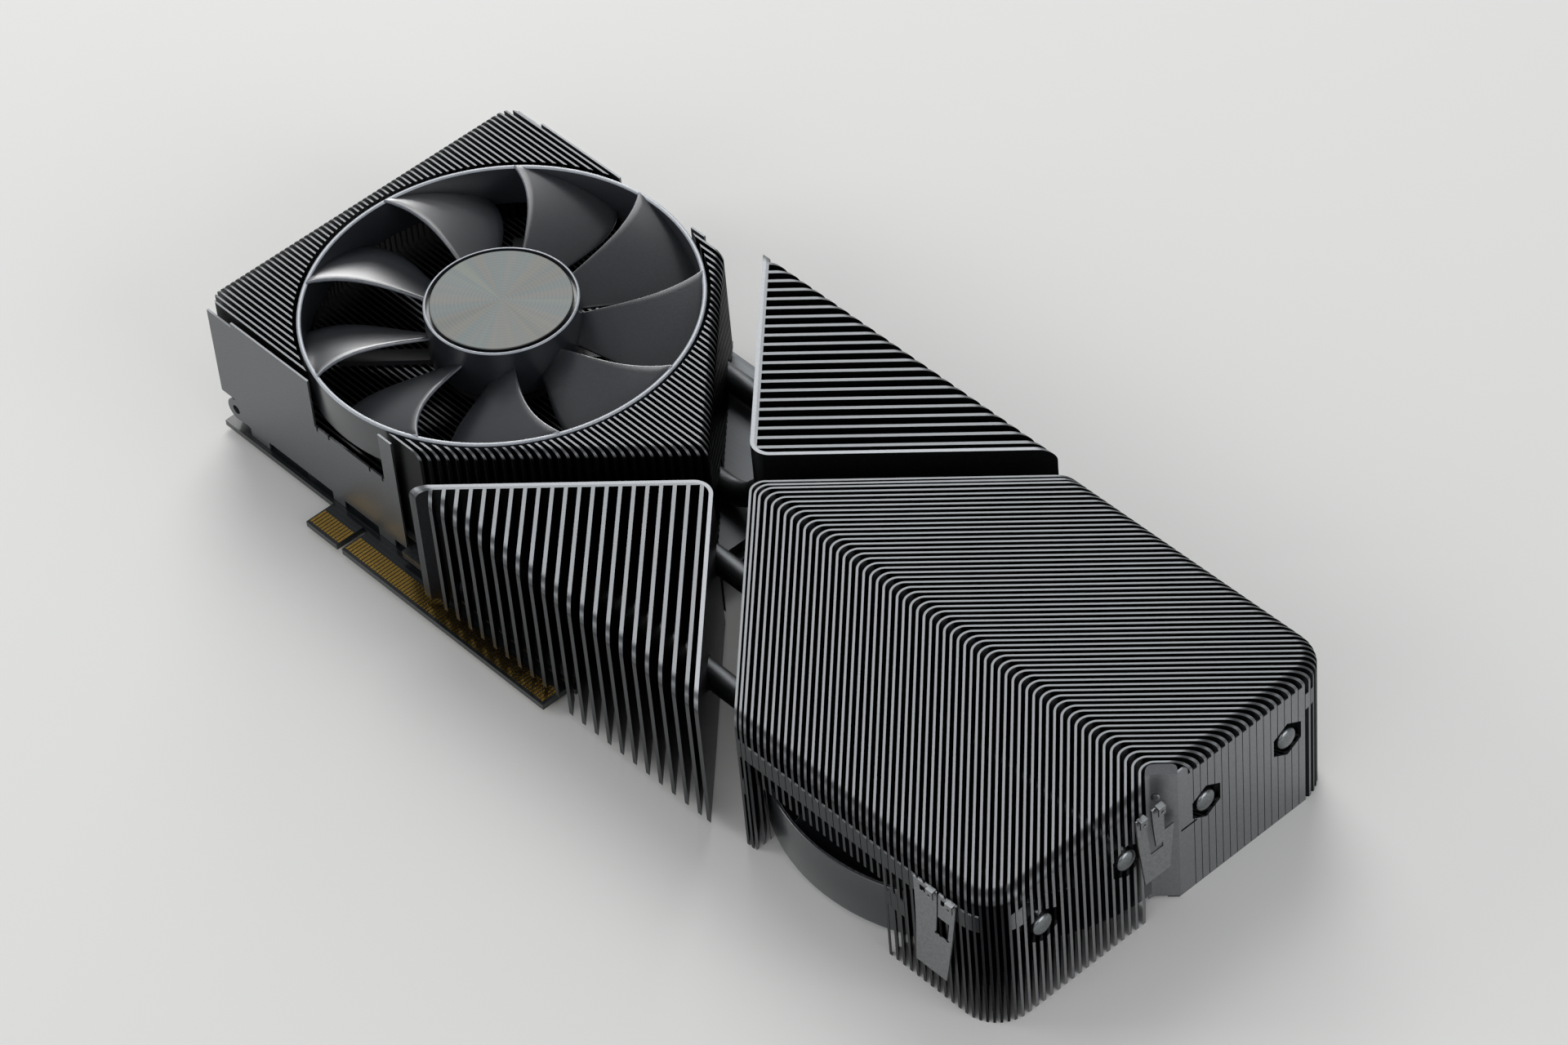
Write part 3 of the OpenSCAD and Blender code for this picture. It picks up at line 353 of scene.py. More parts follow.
# Pressed bronze powder stays porous and matt.
bronze = plain("sintered_bronze", "#8e6c3e", "#a8844f",
               0.45, 0.6, 0.2, 0.01, METAL)
# Hard gold over nickel is smooth and deep yellow.
gold = plain("hard_gold_flash", "#b9923f", "#cfa853", 0.2, 0.3, 0.3, 0.001, METAL)
print("metals so far:", len(bpy.data.materials) - 1)

# %% [markdown]
# The disc on each hub is faced on a lathe. The finest rings stretch every highlight into a
# fan-shaped streak, which an anisotropic shader with a tangent round the disc does too. The
# coarser rings are a wave texture, and faint coloured streaks of painted sheen follow a noise
# that depends only on the direction from the disc's centre.

# %% Spun disc
# A ridge and a groove take 0.92 mm, coarser than a lathe leaves them, so that they show.
RIDGE = 0.46 * MM


def spun_disc(name, center):
    """Lathe-faced aluminium round a centre: fine rings, and painted sheen streaks that run
    outwards.
    """
    material, tree, shader = new_material(name)
    place = add(tree, "Mapping", {
        "Vector": add(tree, "TexCoord").outputs["Object"], "Location": -center,
    }).outputs["Vector"]
    flat = add(tree, "VectorMath", {0: place, 1: (1, 1, 0)}, operation="MULTIPLY").outputs[0]
    outwards = add(tree, "VectorMath", {0: flat}, operation="NORMALIZE").outputs[0]
    # Faint tone streaks along the radius: painted sheen.
    painted_sheen_streaks = add(tree, "TexNoise", {"Vector": outwards, "Scale": 2.4, "Detail": 4.0})
    # The wave texture repeats every pi / 10 units at a scale of 1.
    rings = add(tree, "TexWave", {
        "Vector": flat, "Scale": 1 / RIDGE / 20 * math.pi, "Distortion": 0.0,
    }, wave_type="RINGS", rings_direction="Z").outputs["Fac"]
    tone = add(tree, "ValToRGB", {"Fac": painted_sheen_streaks.outputs["Fac"]},
               stops=[(0.3, "#434644"), (0.45, "#4b4a48"), (0.55, "#444949"),
                      (0.7, "#4d4f4b")]).outputs["Color"]
    ringed = add(tree, "ValToRGB", {"Fac": rings},
                 stops=[(0.0, "#363937"), (0.35, "#4a4c4a")]).outputs["Color"]
    color = add(tree, "Mix", {0: 0.18, 6: tone, 7: ringed}, data_type="RGBA").outputs[2]
    relief = add(tree, "Bump", {"Height": rings, "Distance": 0.003 * MM}).outputs["Normal"]
    round_axis = add(tree, "Tangent", direction_type="RADIAL", axis="Z").outputs["Tangent"]
    plug(tree, shader, {
        "Base Color": color, "Normal": relief, "Tangent": round_axis,
        "Metallic": 1.0, "Roughness": 0.3, "Anisotropic": 0.8,
    })
    return material


front_disc_finish = spun_disc("front_lathe_faced_aluminium", node_box("front_hub_disc")[2])
rear_disc_finish = spun_disc("rear_lathe_faced_aluminium", node_box("rear_hub_disc")[2])
print("disc finishes:", front_disc_finish.name, rear_disc_finish.name)


# %% [markdown]
# ## Plastics, board and small parts
#
# The impellers are moulded in a glass-filled polyester: dark, with the faint orange-peel
# texture of a sandblasted mould. The board's solder mask is a thin dark lacquer, and the
# copper under it shows only as a slightly raised, slightly paler network.

# %% Plastics and minerals
def moulded(name, low, high, rough_low, rough_high, grain_mm, depth_mm, coat=0.0):
    """A plastic or a mineral; the coat is the smooth skin that the mould leaves."""
    return plain(name, low, high, rough_low, rough_high, grain_mm, depth_mm,
                 {"IOR": 1.5, "Coat Weight": coat, "Coat Roughness": 0.3})


# The mould's skin gives the blades a broad satin sheen over a near-black body.
polyester = moulded("glass_filled_polyester", "#1c1e22", "#24262b", 0.28, 0.36, 0.5, 0.005, 0.8)
# Pale lips and leading edges are painted highlights, which make the bright outlines of the fan.
highlight_lip_plastic = moulded("painted_highlight_lip", "#8d9299", "#989da4", 0.2, 0.28, 0.5, 0.002, 0.6)
highlight_edge_plastic = moulded("painted_highlight_blade_edge", "#62666c", "#6c7077", 0.25, 0.33, 0.5, 0.002, 0.6)
# Inner mouldings are matt, so that they sink into the dark.
base_plastic = moulded("black_fan_base", "#1d1e20", "#26272a", 0.45, 0.58, 0.6, 0.008)
epoxy = moulded("black_mould_compound", "#17181a", "#202123", 0.5, 0.62, 0.3, 0.004)
nylon = moulded("natural_nylon", "#d6d3c6", "#e2dfd3", 0.4, 0.5, 0.6, 0.004)
laminate = moulded("green_chip_laminate", "#1d3b2b", "#254635", 0.35, 0.45, 0.4, 0.002, 0.2)
# A polished die is a dark grey mirror.
silicon = moulded("polished_silicon", "#4b4e58", "#575b66", 0.08, 0.14, 2.0, 0.0005, 0.3)
# Pads, pressed powder and ferrite are dusty and have no shine.
thermal_pad = moulded("filled_silicone_pad", "#8b9098", "#9aa0a8", 0.75, 0.85, 0.3, 0.01)
iron_powder = moulded("pressed_iron_powder", "#3c3d3f", "#4a4b4d", 0.55, 0.7, 0.25, 0.012)
ferrite = moulded("bonded_ferrite", "#242426", "#303033", 0.6, 0.75, 0.3, 0.008)
ceramic = moulded("ceramic_capacitor_body", "#7d7257", "#948868", 0.4, 0.5, 0.3, 0.003)
print("materials so far:", len(bpy.data.materials))

# %% Solder mask
TRACK_CELL = 6 * MM
solder_mask, tree, shader = new_material("black_solder_mask")
tracks = add(tree, "TexBrick", {
    "Vector": add(tree, "TexCoord").outputs["Object"], "Scale": 1 / TRACK_CELL,
    "Mortar Size": 0.012, "Brick Width": 0.9, "Row Height": 0.22,
    "Color1": srgb("#101315"), "Color2": srgb("#131719"), "Mortar": srgb("#1c2224"),
})
relief = add(tree, "Bump", {"Height": tracks.outputs["Fac"], "Distance": 0.02 * MM})
plug(tree, shader, {
    "Base Color": tracks.outputs["Color"], "Normal": relief.outputs["Normal"],
    "Roughness": 0.32, "Coat Weight": 0.3,
})
print("solder mask:", solder_mask.name)

# %% [markdown]
# ## Finishing the CAD pieces
#
# Most pieces keep the CAD solid, which is exact, and only get their finish.

# %% Finishes by piece
finishes = {
    exhaust_strip: ["exhaust_fins"],
    chevron_strip: ["through_fins"],
    corner_strip: ["near_corner_fins", "far_corner_fins"],
    corner_sheet: ["near_corner_frame", "far_corner_frame"],
    side_sheet: ["near_side_plate", "far_side_plate"],
    die_casting: ["base_plate"],
    clip_steel: ["side_clip", "end_clip"],
    # The pipes and the vapour chamber take the nickel darkened as painted shade.
    painted_shade_nickel: ["heat_pipes", "vapor_chamber"],
    solder_mask: ["circuit_board", "front_fan_board", "rear_fan_board"],
    gold: ["edge_contacts", "power_pins"],
    laminate: ["chip_substrate"],
    silicon: ["chip_die"],
    thermal_pad: ["thermal_paste", "memory_pads"],
    epoxy: ["memory_chips", "power_stages", "power_connector"],
    iron_powder: ["inductors"],
    ceramic: ["capacitors"],
    shell_steel: ["display_ports", "hdmi_port"],
    nylon: ["fan_headers"],
    dark_spring: ["retention_spring"],
    black_zinc: ["retention_screws", "board_screws", "board_posts"],
    base_plastic: ["front_fan_base", "rear_fan_base"],
    polyester: ["front_impeller", "rear_impeller"],
    laminations: ["front_stator", "rear_stator", "front_yoke", "rear_yoke"],
    copper_wire: ["front_coils", "rear_coils"],
    bronze: ["front_sleeve", "rear_sleeve"],
    ferrite: ["front_magnet", "rear_magnet"],
    ground_steel: ["front_shaft", "rear_shaft"],
    front_disc_finish: ["front_hub_disc"],
    rear_disc_finish: ["rear_hub_disc"],
}
for finish, names in finishes.items():
    for name in names:
        slots = nodes[name].data.materials
        slots.clear()
        slots.append(finish)
finished = {name for names in finishes.values() for name in names}
print("finished:", len(finished), "left out:", sorted(set(nodes) - finished))

# %% [markdown]
# ## Fan impellers
#
# A moulded impeller has blades that are thin, curved both ways and rounded along their edges,
# which a CAD solid of flat facets only hints at. Each blade starts as a flat grid, is bent onto
# its curved surface, gets its thickness from solidify, and is then spun into nine copies. The
# hub and the ring are turned from an outline, and their upper lips are given a pale colour as a
# painted highlight, which draws a thin bright line round each. The leading edges are painted a
# little paler than the blades, also as a painted highlight.

# %% Turning and finishing helpers
def arc(center, radius, start, end, steps):
    """Points on an arc, in degrees."""
    angles = [math.radians(start + (end - start) * i / steps) for i in range(steps + 1)]
    return [(center[0] + radius * math.cos(a), center[1] + radius * math.sin(a)) for a in angles]


def turn(work, outline, steps=128):
    """Spins a closed outline of (radius, height) points round the Z axis."""
    verts = [work.verts.new((r, 0, z)) for r, z in outline]
    edges = [work.edges.new(pair) for pair in zip(verts, verts[1:] + verts[:1])]
    bmesh.ops.spin(work, geom=verts + edges, cent=(0, 0, 0), axis=(0, 0, 1), dvec=(0, 0, 0),
                   angle=2 * math.pi, steps=steps, use_merge=True)


def finish_piece(name, work, finish, body, sharp=35):
    """Turns a bmesh into a piece that rides on a body."""
    bmesh.ops.remove_doubles(work, verts=work.verts[:], dist=1e-7)
    bmesh.ops.recalc_face_normals(work, faces=work.faces[:])
    data = bpy.data.meshes.new(name)
    work.to_mesh(data)
    work.free()
    data.materials.append(finish)
    data.shade_smooth()
    data.set_sharp_from_angle(angle=math.radians(sharp))
    piece = into_scene(name, data)
    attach(piece, body)
    print(name, len(data.polygons), "faces")
    return piece


# A turned outline starts this far from its axis, because a point on it would pinch.
AXIS_GAP = 0.05 * MM

# %% Blades
BLADES = 9
BLADE_T = 0.9 * MM
RING_WALL = 1.1 * MM
TIP_SWEEP_DEG = 8
ROOT_TURN_DEG = 20
EXTRA_TIP_TURN_DEG = 11
ROOT_DIP = 5.2 * MM
TOP_GAP = 0.3 * MM
BOTH_GAPS = 1.8 * MM
LIP, EDGE = 1, 2


def sweep(u):
    """How far the leading edge runs ahead, from the hub (0) to the ring (1)."""
    return TIP_SWEEP_DEG * u ** 3


def blade_point(u, s, hub_r, ring_r, depth):
    """A point of a blade: u runs from the hub to the ring, s from the leading edge down."""
    r = hub_r + (ring_r - hub_r) * u
    turned = ROOT_TURN_DEG + EXTRA_TIP_TURN_DEG * (1 - (1 - u) ** 2)
    a = math.radians(sweep(u) - turned * s)
    dip = ROOT_DIP * (1 - u) ** 1.3
    z = -TOP_GAP - dip - (depth - BOTH_GAPS - dip) * (0.8 * s + 0.2 * s * s)
    return r * math.cos(a), r * math.sin(a), z


def add_blades(work, hub_r, ring_r, depth):
    """The blades with rounded edges, their leading edges near z = 0."""
    bmesh.ops.create_grid(work, x_segments=14, y_segments=12, size=0.5)
    for vert in work.verts:
        vert.co = blade_point(vert.co.x + 0.5, vert.co.y + 0.5, hub_r - 0.5 * MM,
                              ring_r - 0.6 * RING_WALL, depth)
    bmesh.ops.recalc_face_normals(work, faces=work.faces[:])
    bmesh.ops.solidify(work, geom=work.faces[:], thickness=BLADE_T)
    rims = [e for e in work.edges if len(e.link_faces) == 2 and e.calc_face_angle() > 1]
    bmesh.ops.bevel(work, geom=rims, affect="EDGES", offset=0.28 * MM, segments=2,
                    profile=0.5, material=-1)
    # Faces along the leading edge take the pale material, a painted highlight.
    for face in work.faces:
        at = face.calc_center_median()
        r = math.hypot(at.x, at.y)
        lead = math.radians(sweep(max(0, (r - hub_r) / (ring_r - hub_r))))
        on_edge = abs(math.atan2(at.y, at.x) - lead) * r < 0.3 * MM
        face.material_index = EDGE if on_edge else 0
    bmesh.ops.spin(work, geom=work.verts[:] + work.edges[:] + work.faces[:],
                   cent=(0, 0, 0), axis=(0, 0, 1), dvec=(0, 0, 0), use_duplicate=True,
                   angle=2 * math.pi * (BLADES - 1) / BLADES, steps=BLADES - 1)


# %% Hub and ring
HUB_DEPTH = 14 * MM
HUB_LIP = 0.7 * MM


def add_ring(work, ring_r, depth):
    """The ring that joins the blade tips, with rounded lips."""
    lip = 0.4 * MM
    inner = ring_r - RING_WALL + lip
    outer = ring_r - lip
    turn(work, arc((outer, lip - depth), lip, -90, 0, 3) + arc((outer, -lip), lip, 0, 90, 3)
         + arc((inner, -lip), lip, 90, 180, 3) + arc((inner, lip - depth), lip, 180, 270, 3))


def add_hub(work, hub_r, top):
    """The hub: a drum with a rounded rim, a seat for the spun disc and a dark groove."""
    rim, floor, skin = 0.5 * MM, top - 0.6 * MM, 1.9 * MM
    ditch, seat_r, bottom = floor - 0.9 * MM, hub_r - 1.55 * MM, top - HUB_DEPTH
    turn(work, arc((hub_r - rim, top - rim), rim, 0, 80, 6)
         + [(hub_r - rim - 0.1 * MM, top - 0.1 * MM), (hub_r - rim - 0.1 * MM, ditch),
            (seat_r, ditch), (seat_r, floor), (2 * MM, floor), (2 * MM, floor - skin),
            (hub_r - skin, floor - skin), (hub_r - skin, bottom)]
         + arc((hub_r - 0.4 * MM, bottom + 0.4 * MM), 0.4 * MM, 270, 360, 3))


def hub_disc(name, node, finish, facing):
    """The disc in a hub's recess, with a small chamfer that leaves a dark groove round it."""
    low, high, center = node_box(node)
    radius = (high.x - low.x) / 2 + 0.1 * MM
    under, face = (low.z, high.z) if facing > 0 else (high.z, low.z)
    chamfer = 0.2 * MM
    work = bmesh.new()
    turn(work, [(AXIS_GAP, under), (radius, under), (radius, face - facing * chamfer),
                (radius - chamfer, face), (AXIS_GAP, face)], steps=192)
    place = Matrix.Translation((center.x, center.y, 0))
    bmesh.ops.transform(work, matrix=place, verts=work.verts[:])
    rotor = node.replace("hub_disc", "rotor")
    piece = finish_piece(name, work, finish, rotor, 20)
    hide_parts(node)


# %% Impellers and discs
def impeller(name, node, ring_depth, phase, facing):
    """Makes an impeller where its CAD node is; facing is 1 for up and -1 for down."""
    low, high, center = node_box(node)
    disc_low, disc_high, _ = node_box(node.replace("impeller", "hub_disc"))
    ring_r = (high.x - low.x) / 2
    hub_r = (disc_high.x - disc_low.x) / 2 + 1.6 * MM
    hub_face = disc_high.z - 0.1 * MM if facing > 0 else disc_low.z + 0.1 * MM
    ring_face = hub_face - facing * 0.5 * MM
    work = bmesh.new()
    add_blades(work, hub_r, ring_r, ring_depth)
    add_ring(work, ring_r, ring_depth)
    hub_top = (hub_face - ring_face) * facing
    add_hub(work, hub_r, hub_top)
    # The upper lips of the ring and the hub take the pale material, a painted highlight.
    for face in work.faces:
        at = face.calc_center_median()
        r = math.hypot(at.x, at.y)
        on_ring = r > ring_r - RING_WALL - 0.02 * MM and at.z > -0.42 * MM
        on_hub = hub_r - HUB_LIP < r < hub_r + 0.02 * MM and at.z > hub_top - 0.4 * MM
        if on_ring or on_hub:
            face.material_index = LIP
    place = (Matrix.Translation((center.x, center.y, ring_face))
             @ Matrix.Diagonal((1, 1, facing, 1))
             @ Matrix.Rotation(math.radians(phase), 4, "Z"))
    bmesh.ops.transform(work, matrix=place, verts=work.verts[:])
    rotor = node.replace("impeller", "rotor")
    piece = finish_piece(name, work, polyester, rotor, 50)
    piece.data.materials.append(highlight_lip_plastic)
    piece.data.materials.append(highlight_edge_plastic)
    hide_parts(node)


impeller("front_impeller_moulding", "front_impeller", 11.5 * MM, 8.2, 1)
impeller("rear_impeller_moulding", "rear_impeller", 14.4 * MM, 0, -1)
hub_disc("front_faced_disc", "front_hub_disc", front_disc_finish, 1)
hub_disc("rear_faced_disc", "rear_hub_disc", rear_disc_finish, -1)

# %% [markdown]
# ## Leaf clips
#
# Each clip is one bent strip of spring steel. Its top is cut into tabs that end in small
# holed hooks, and the leaf springs outwards on its way down. The flat CAD plate becomes a
# curved sheet: a grid whose lines follow the cuts, with some cells left open, that is bent,
# thickened with solidify and bevelled. The one on the end face has a low shoulder and
# tapers on one side only.

# %% Leaf clip sizes
# "across" holds the upright grid lines in mm, and DOWN the level ones as shares of the
# leaf's height, counted from its top.
# An opening is (line, line, lower share, upper share), and hooks are their places across.
CLIP_T = 0.5 * MM
CLIP_TOP = 34.4
STAND_OFF = 0.55
SPRING = 2.3
HOOK_HALF = 1.05
HOOK_HOLE_R = 0.38
HOOK_POINTS = 12
HOOK_OUT, HOOK_UP = -1.25, 33.6
FOLD_BACK = (0, 1.0, 0.15)
SIDE_LEAF = {
    "across": [-6.5, -4.6, -2.4, -0.8, 0.4, 0.8, 1.2, 2.0, 4.2, 5.0, 5.6, 6.5],
    "open": [(0.8, 5.0, 0.5, 0.3), (0.4, 5.6, 0.53, 0.5), (0.8, 1.2, 0.3, 0.0),
             (-4.6, -2.4, 0.12, 0.05), (2.0, 4.2, 0.12, 0.05)],
    "fall": 23.4, "taper": (0.28, 0.28), "hooks": (-0.4, 5.5),
}
END_LEAF = {
    "across": [-6.5, -5.0, -3.6, -2.7, -1.8, 0.4, 1.9, 3.5, 5.0, 6.5],
    "open": [(-3.6, -1.8, 0.64, 0.0), (-1.8, 0.4, 0.64, 0.58), (1.9, 6.5, 0.43, 0.0)],
    "fall": 18.0, "taper": (0.0, 0.85), "hooks": (-5.2, 0.2),
}
DOWN = [0, 0.05, 0.12, 0.21, 0.3, 0.36, 0.43, 0.5, 0.53, 0.58, 0.64, 0.72, 0.8, 0.88,
        0.96, 1]
print("leaf heights:", SIDE_LEAF["fall"], END_LEAF["fall"], "mm")


# %% Leaf clips
def add_leaf(work, leaf):
    """The bent sheet: a grid with one cell between each two lines, bent as it falls."""
    across, fall = leaf["across"], leaf["fall"]
    columns, rows = len(across) - 1, len(DOWN) - 1
    bmesh.ops.create_grid(work, x_segments=columns, y_segments=rows, size=0.5)
    for vert in work.verts:
        vert.co = (across[round((vert.co.x + 0.5) * columns)], 0,
                   DOWN[round((0.5 - vert.co.y) * rows)])
    cut = []
    for face in work.faces:
        at = face.calc_center_median()
        if any(x0 < at.x < x1 and high < at.z < low for x0, x1, low, high in leaf["open"]):
            cut.append(face)
    bmesh.ops.delete(work, geom=cut, context="FACES")
    for vert in work.verts:
        x, down = vert.co.x, vert.co.z
        narrow = 1 - leaf["taper"][0 if x < 0 else 1] * down
        out = STAND_OFF + SPRING * down ** 1.5
        vert.co = Vector((x * narrow, -out, CLIP_TOP - fall * down)) * MM


def add_hook(work, x):
    """A square tab with a round hole that stands proud of the top, and the fold behind it."""
    upright = (Matrix.Rotation(math.radians(90), 4, "X")
               @ Matrix.Rotation(math.pi / HOOK_POINTS, 4, "Z"))
    hole, rim = (bmesh.ops.create_circle(work, segments=HOOK_POINTS, radius=radius,
                                         matrix=upright)["verts"]
                 for radius in (HOOK_HOLE_R, HOOK_HALF))
    for vert in rim:
        vert.co *= HOOK_HALF / max(abs(vert.co.x), abs(vert.co.z))
    loops = [edge for edge in work.edges if edge.is_wire]
    top = [edge for edge in loops if min(v.co.z for v in edge.verts) > HOOK_HALF - 0.001]
    bmesh.ops.bridge_loops(work, edges=loops)
    fold = [part for part in bmesh.ops.extrude_edge_only(work, edges=top)["geom"]
            if isinstance(part, bmesh.types.BMVert)]
    bmesh.ops.translate(work, vec=FOLD_BACK, verts=fold)
    place = Matrix.Scale(MM, 4) @ Matrix.Translation((x, HOOK_OUT, HOOK_UP))
    bmesh.ops.transform(work, matrix=place, verts=hole + rim + fold)


def leaf_clip(name, node, leaf, wall_x, wall_y, turn_deg):
    """A clip on a wall that faces -Y before it is turned."""
    work = bmesh.new()
    add_leaf(work, leaf)
    leaf_faces = set(work.faces)
    for x in leaf["hooks"]:
        add_hook(work, x)
    bmesh.ops.recalc_face_normals(work, faces=work.faces[:])
    # Solidify grows a sheet against its normals, and the hooks have to grow forwards.
    hook_faces = [face for face in work.faces if face not in leaf_faces]
    bmesh.ops.reverse_faces(work, faces=hook_faces)
    bmesh.ops.solidify(work, geom=work.faces[:], thickness=CLIP_T)
    edges = [e for e in work.edges if len(e.link_faces) == 2 and e.calc_face_angle() > 1]
    bmesh.ops.bevel(work, geom=edges, affect="EDGES", offset=0.07 * MM, segments=1,
                    profile=0.5, material=-1)
    place = (Matrix.Translation((wall_x, wall_y, 0))
             @ Matrix.Rotation(math.radians(turn_deg), 4, "Z"))
    bmesh.ops.transform(work, matrix=place, verts=work.verts[:])
    piece = finish_piece(name, work, clip_steel, COOLER, 30)
    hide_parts(node)


_, side_clip_high, side_clip_center = node_box("side_clip")
leaf_clip("side_leaf_clip", "side_clip", SIDE_LEAF,
          side_clip_center.x + 0.4 * MM, side_clip_high.y + 0.1 * MM, 0)
end_clip_low, _, end_clip_center = node_box("end_clip")
end_wall = end_clip_low.x - 0.1 * MM
leaf_clip("end_leaf_clip", "end_clip", END_LEAF, end_wall, end_clip_center.y - 0.4 * MM, 90)

# %% [markdown]
# ## The nose of the innermost sheet and the pipe tips
#
# The innermost chevron sheet closes on itself in a nose at the end face, which turns inwards
# and has round top corners. It is one flat outline that is cut into strips, wrapped onto
# the nose's plan and turned back at the top to close the opening behind it, with a small
# pressed lance. Each pipe is pinched, cut and welded shut, which leaves a shallow dome on
# its tip.

# %% Nose fold
# The plan and the heights are in mm, from the wall of the end face and the rest plane.
NOSE_T = 0.3 * MM
NOSE_LOW, NOSE_TOP, NOSE_ROUND = 0.6, 39.8, 1.4
NOSE_END = NOSE_TOP + 3.0
LANCE_R = 1.1 * MM
LANCE_ALONG, LANCE_UP = 4.9, 32.6
NOSE_PLAN = [(0.36, 3.2), (-1.5, 1.34), (-2.8, 0.04), (-3.6, -0.9), (-3.9, -1.6), (-3.9, -2.3)]
runs = [math.dist(a, b) for a, b in zip(NOSE_PLAN, NOSE_PLAN[1:])]
NOSE_WIDE = sum(runs)


def nose_point(along, z):
    """Wraps a point of the flat outline onto the nose's plan."""
    for (x0, y0), (x1, y1), run in zip(NOSE_PLAN, NOSE_PLAN[1:], runs):
        if along <= run + 1e-6:
            part = along / run
            break
        along -= run
    back = max(0.0, z - NOSE_TOP) / math.sqrt(2)
    return Vector((x0 + (x1 - x0) * part - back, y0 + (y1 - y0) * part + back,
                   min(z, NOSE_TOP))) * MM


work = bmesh.new()
outline = ([(0, NOSE_LOW), (NOSE_WIDE, NOSE_LOW)]
           + arc((NOSE_WIDE - NOSE_ROUND, NOSE_END - NOSE_ROUND), NOSE_ROUND, 0, 90, 4)
           + arc((NOSE_ROUND, NOSE_END - NOSE_ROUND), NOSE_ROUND, 90, 180, 4))
work.faces.new([work.verts.new((a, 0, z)) for a, z in outline])
bmesh.ops.bisect_plane(work, geom=work.verts[:] + work.edges[:] + work.faces[:],
                       plane_co=(0, 0, NOSE_TOP), plane_no=(0, 0, 1))
for k in range(1, len(runs)):
    bmesh.ops.bisect_plane(work, geom=work.verts[:] + work.edges[:] + work.faces[:],
                           plane_co=(sum(runs[:k]), 0, 0), plane_no=(1, 0, 0))
for vert in work.verts:
    vert.co = nose_point(vert.co.x, vert.co.z)
bmesh.ops.recalc_face_normals(work, faces=work.faces[:])
bmesh.ops.solidify(work, geom=work.faces[:], thickness=NOSE_T)
lance = bmesh.ops.create_uvsphere(work, u_segments=20, v_segments=12, radius=LANCE_R)["verts"]
bmesh.ops.scale(work, vec=(0.35, 1, 1), verts=lance)
place = (Matrix.Translation(nose_point(LANCE_ALONG, LANCE_UP))
         @ Matrix.Rotation(math.radians(-50), 4, "Z"))
bmesh.ops.transform(work, matrix=place, verts=lance)
bmesh.ops.translate(work, vec=(end_wall, 0, 0), verts=work.verts[:])
finish_piece("nose_fold", work, folded_strip, COOLER, 30)

# %% Pipe tips
TIP_R = 2.75 * MM
TIP_START, DOME_START, DOME_RISE = -2.2 * MM, -0.5 * MM, 0.9 * MM
PIPES_Y = (-37, -12, 12, 37)
PIPES_UP = 24
pipe_end = node_box("heat_pipes")[1].x - 0.2 * MM
slopes = [math.radians(a) for a in (20, 40, 60, 75)]
dome = ([(TIP_R, TIP_START), (TIP_R, DOME_START)]
        + [(TIP_R * math.cos(a), DOME_START + DOME_RISE * math.sin(a)) for a in slopes]
        + [(AXIS_GAP, DOME_START + DOME_RISE), (AXIS_GAP, TIP_START)])
work = bmesh.new()
for y in PIPES_Y:
    before = set(work.verts)
    turn(work, dome, steps=32)
    made = [v for v in work.verts if v not in before]
    place = (Matrix.Translation((pipe_end, y * MM, PIPES_UP * MM))
             @ Matrix.Rotation(math.radians(90), 4, "Y"))
    bmesh.ops.transform(work, matrix=place, verts=made)
finish_piece("pipe_tip_domes", work, nickel, COOLER, 40)

# %% [markdown]
# ## Small parts of the board
#
# A board of this kind carries hundreds of parts that are too small for the CAD model. The
# ones that show are drawn here: the capacitors behind the chip, the rows behind each choke,
# a few controller chips and the soldered pins of the through-hole parts. They sit on the
# underside, in the 1.4 mm above the rest plane, next to the pieces that they serve.

# %% Parts under the board
board_low, board_high, _ = node_box("circuit_board")
UNDER = board_low.z
SUNK = 0.02 * MM


def add_brick(work, x, y, size_x, size_y, depth, material_index=0):
    """A small block that hangs under the board."""
    made = bmesh.ops.create_cube(work, size=1)["verts"]
    bmesh.ops.scale(work, vec=(size_x, size_y, depth), verts=made)
    bmesh.ops.translate(work, vec=(x, y, UNDER - depth / 2 + SUNK), verts=made)
    for face in {f for v in made for f in v.link_faces}:
        face.material_index = material_index


def add_chip_capacitor(work, x, y, length, along_x=True):
    """A ceramic body between two tinned end caps."""
    wide, depth, cap = length * 0.5, length * 0.45, length * 0.22
    for step, size, index in ((0, length - 2 * cap, 0), (-1, cap, 1), (1, cap, 1)):
        move = step * (length - cap) / 2
        px, py = (x + move, y) if along_x else (x, y + move)
        sx, sy = (size, wide) if along_x else (wide, size)
        grow = 0.03 * MM * index
        add_brick(work, px, py, sx, sy + grow if along_x else sy, depth + grow, index)


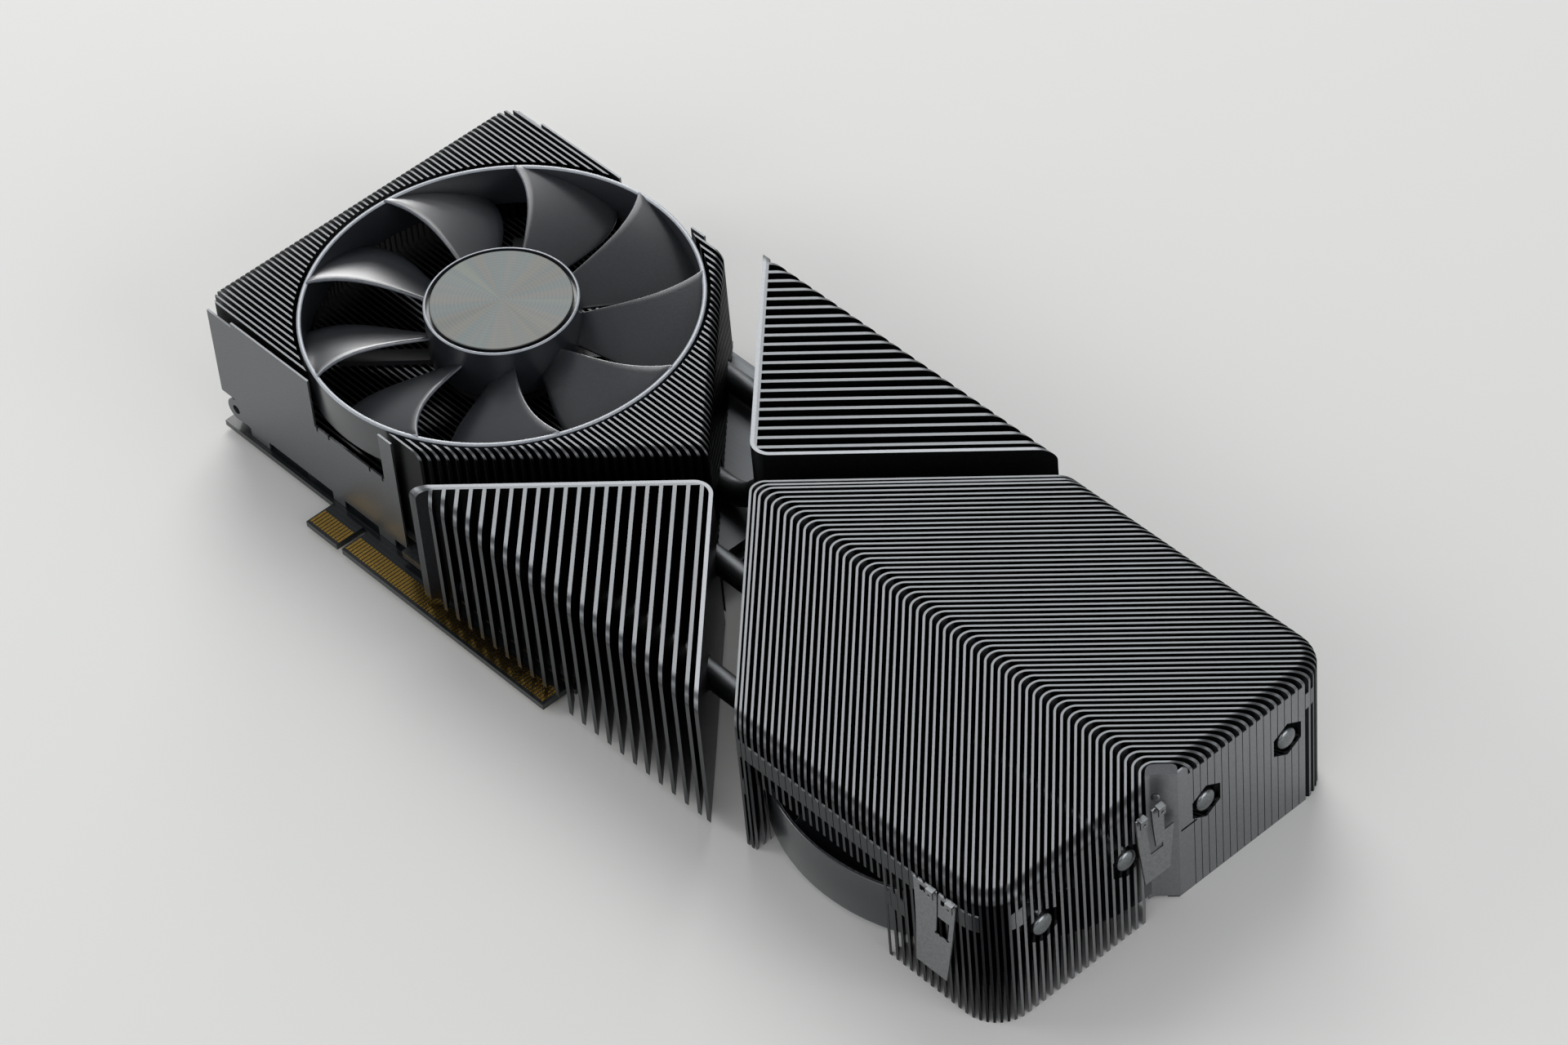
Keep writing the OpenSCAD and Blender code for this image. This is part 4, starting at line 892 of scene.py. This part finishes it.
# %% Capacitors
SMALL_CAP, LARGE_CAP = 1.6 * MM, 2.0 * MM
CHOKES = 8
work = bmesh.new()
chip_center = node_box("chip_die")[2]
for across in range(-3, 4):
    for out in (15.2, 17.4, 19.6):
        for side in (-1, 1):
            x, y = side * out * MM, across * 2.1 * MM
            add_chip_capacitor(work, chip_center.x + x, chip_center.y + y, SMALL_CAP)
            add_chip_capacitor(work, chip_center.x + y, chip_center.y + x, SMALL_CAP, False)
choke_low, choke_high, choke_center = node_box("inductors")
for k in range(CHOKES):
    y = choke_low.y + (k + 0.5) * (choke_high.y - choke_low.y) / CHOKES
    for step in range(3):
        add_chip_capacitor(work, choke_center.x + (step - 1) * 3.4 * MM, y, LARGE_CAP, False)
loose_rows = ([(x, y) for y in (-42, 42) for x in (-71, -68, -65)]
              + [(x, -44) for x in (12, 15, 18)]
              + [(32, side * y) for side in (1, -1) for y in (30, 33, 36)])
for x, y in loose_rows:
    add_chip_capacitor(work, x * MM, y * MM, SMALL_CAP, x < 0)
under_parts = finish_piece("underside_capacitors", work, ceramic, COOLER, 30)
under_parts.data.materials.append(shell_steel)

# %% Controllers
# Place and size in mm.
CONTROLLERS = [(-66, 20, 5, 6, 0.9), (-66, -18, 5, 5, 0.8), (28, 8, 4, 3, 0.7)]
work = bmesh.new()
for row in CONTROLLERS:
    add_brick(work, *(value * MM for value in row))
bmesh.ops.bevel(work, geom=work.edges[:], affect="EDGES", offset=0.08 * MM, segments=1,
                profile=0.5, material=-1)
finish_piece("underside_controllers", work, epoxy, COOLER, 30)


# %% Solder joints
def add_joint(work, x, y, radius):
    """A cone of solder under the board."""
    made = bmesh.ops.create_cone(work, cap_ends=True, segments=14, radius1=radius * 0.45,
                                 radius2=radius, depth=0.6 * MM)["verts"]
    bmesh.ops.translate(work, vec=(x, y, UNDER - 0.28 * MM), verts=made)


PIN_COLUMNS = 6
PORTS_Y = {"display_ports": (-30, -8, 36), "hdmi_port": (14,)}
work = bmesh.new()
power_low, power_high, _ = node_box("power_pins")
for row in range(2):
    for k in range(PIN_COLUMNS):
        add_joint(work, power_low.x + (power_high.x - power_low.x) * (k + 0.5) / PIN_COLUMNS,
                  board_high.y - (6 + 3 * row) * MM, 0.8 * MM)
for node, middles in PORTS_Y.items():
    port_low = node_box(node)[0]
    for y in middles:
        for dx in (4, 12):
            for dy in (-6, 6):
                add_joint(work, port_low.x + dx * MM, (y + dy) * MM, 0.9 * MM)
finish_piece("solder_joints", work, shell_steel, COOLER, 40)
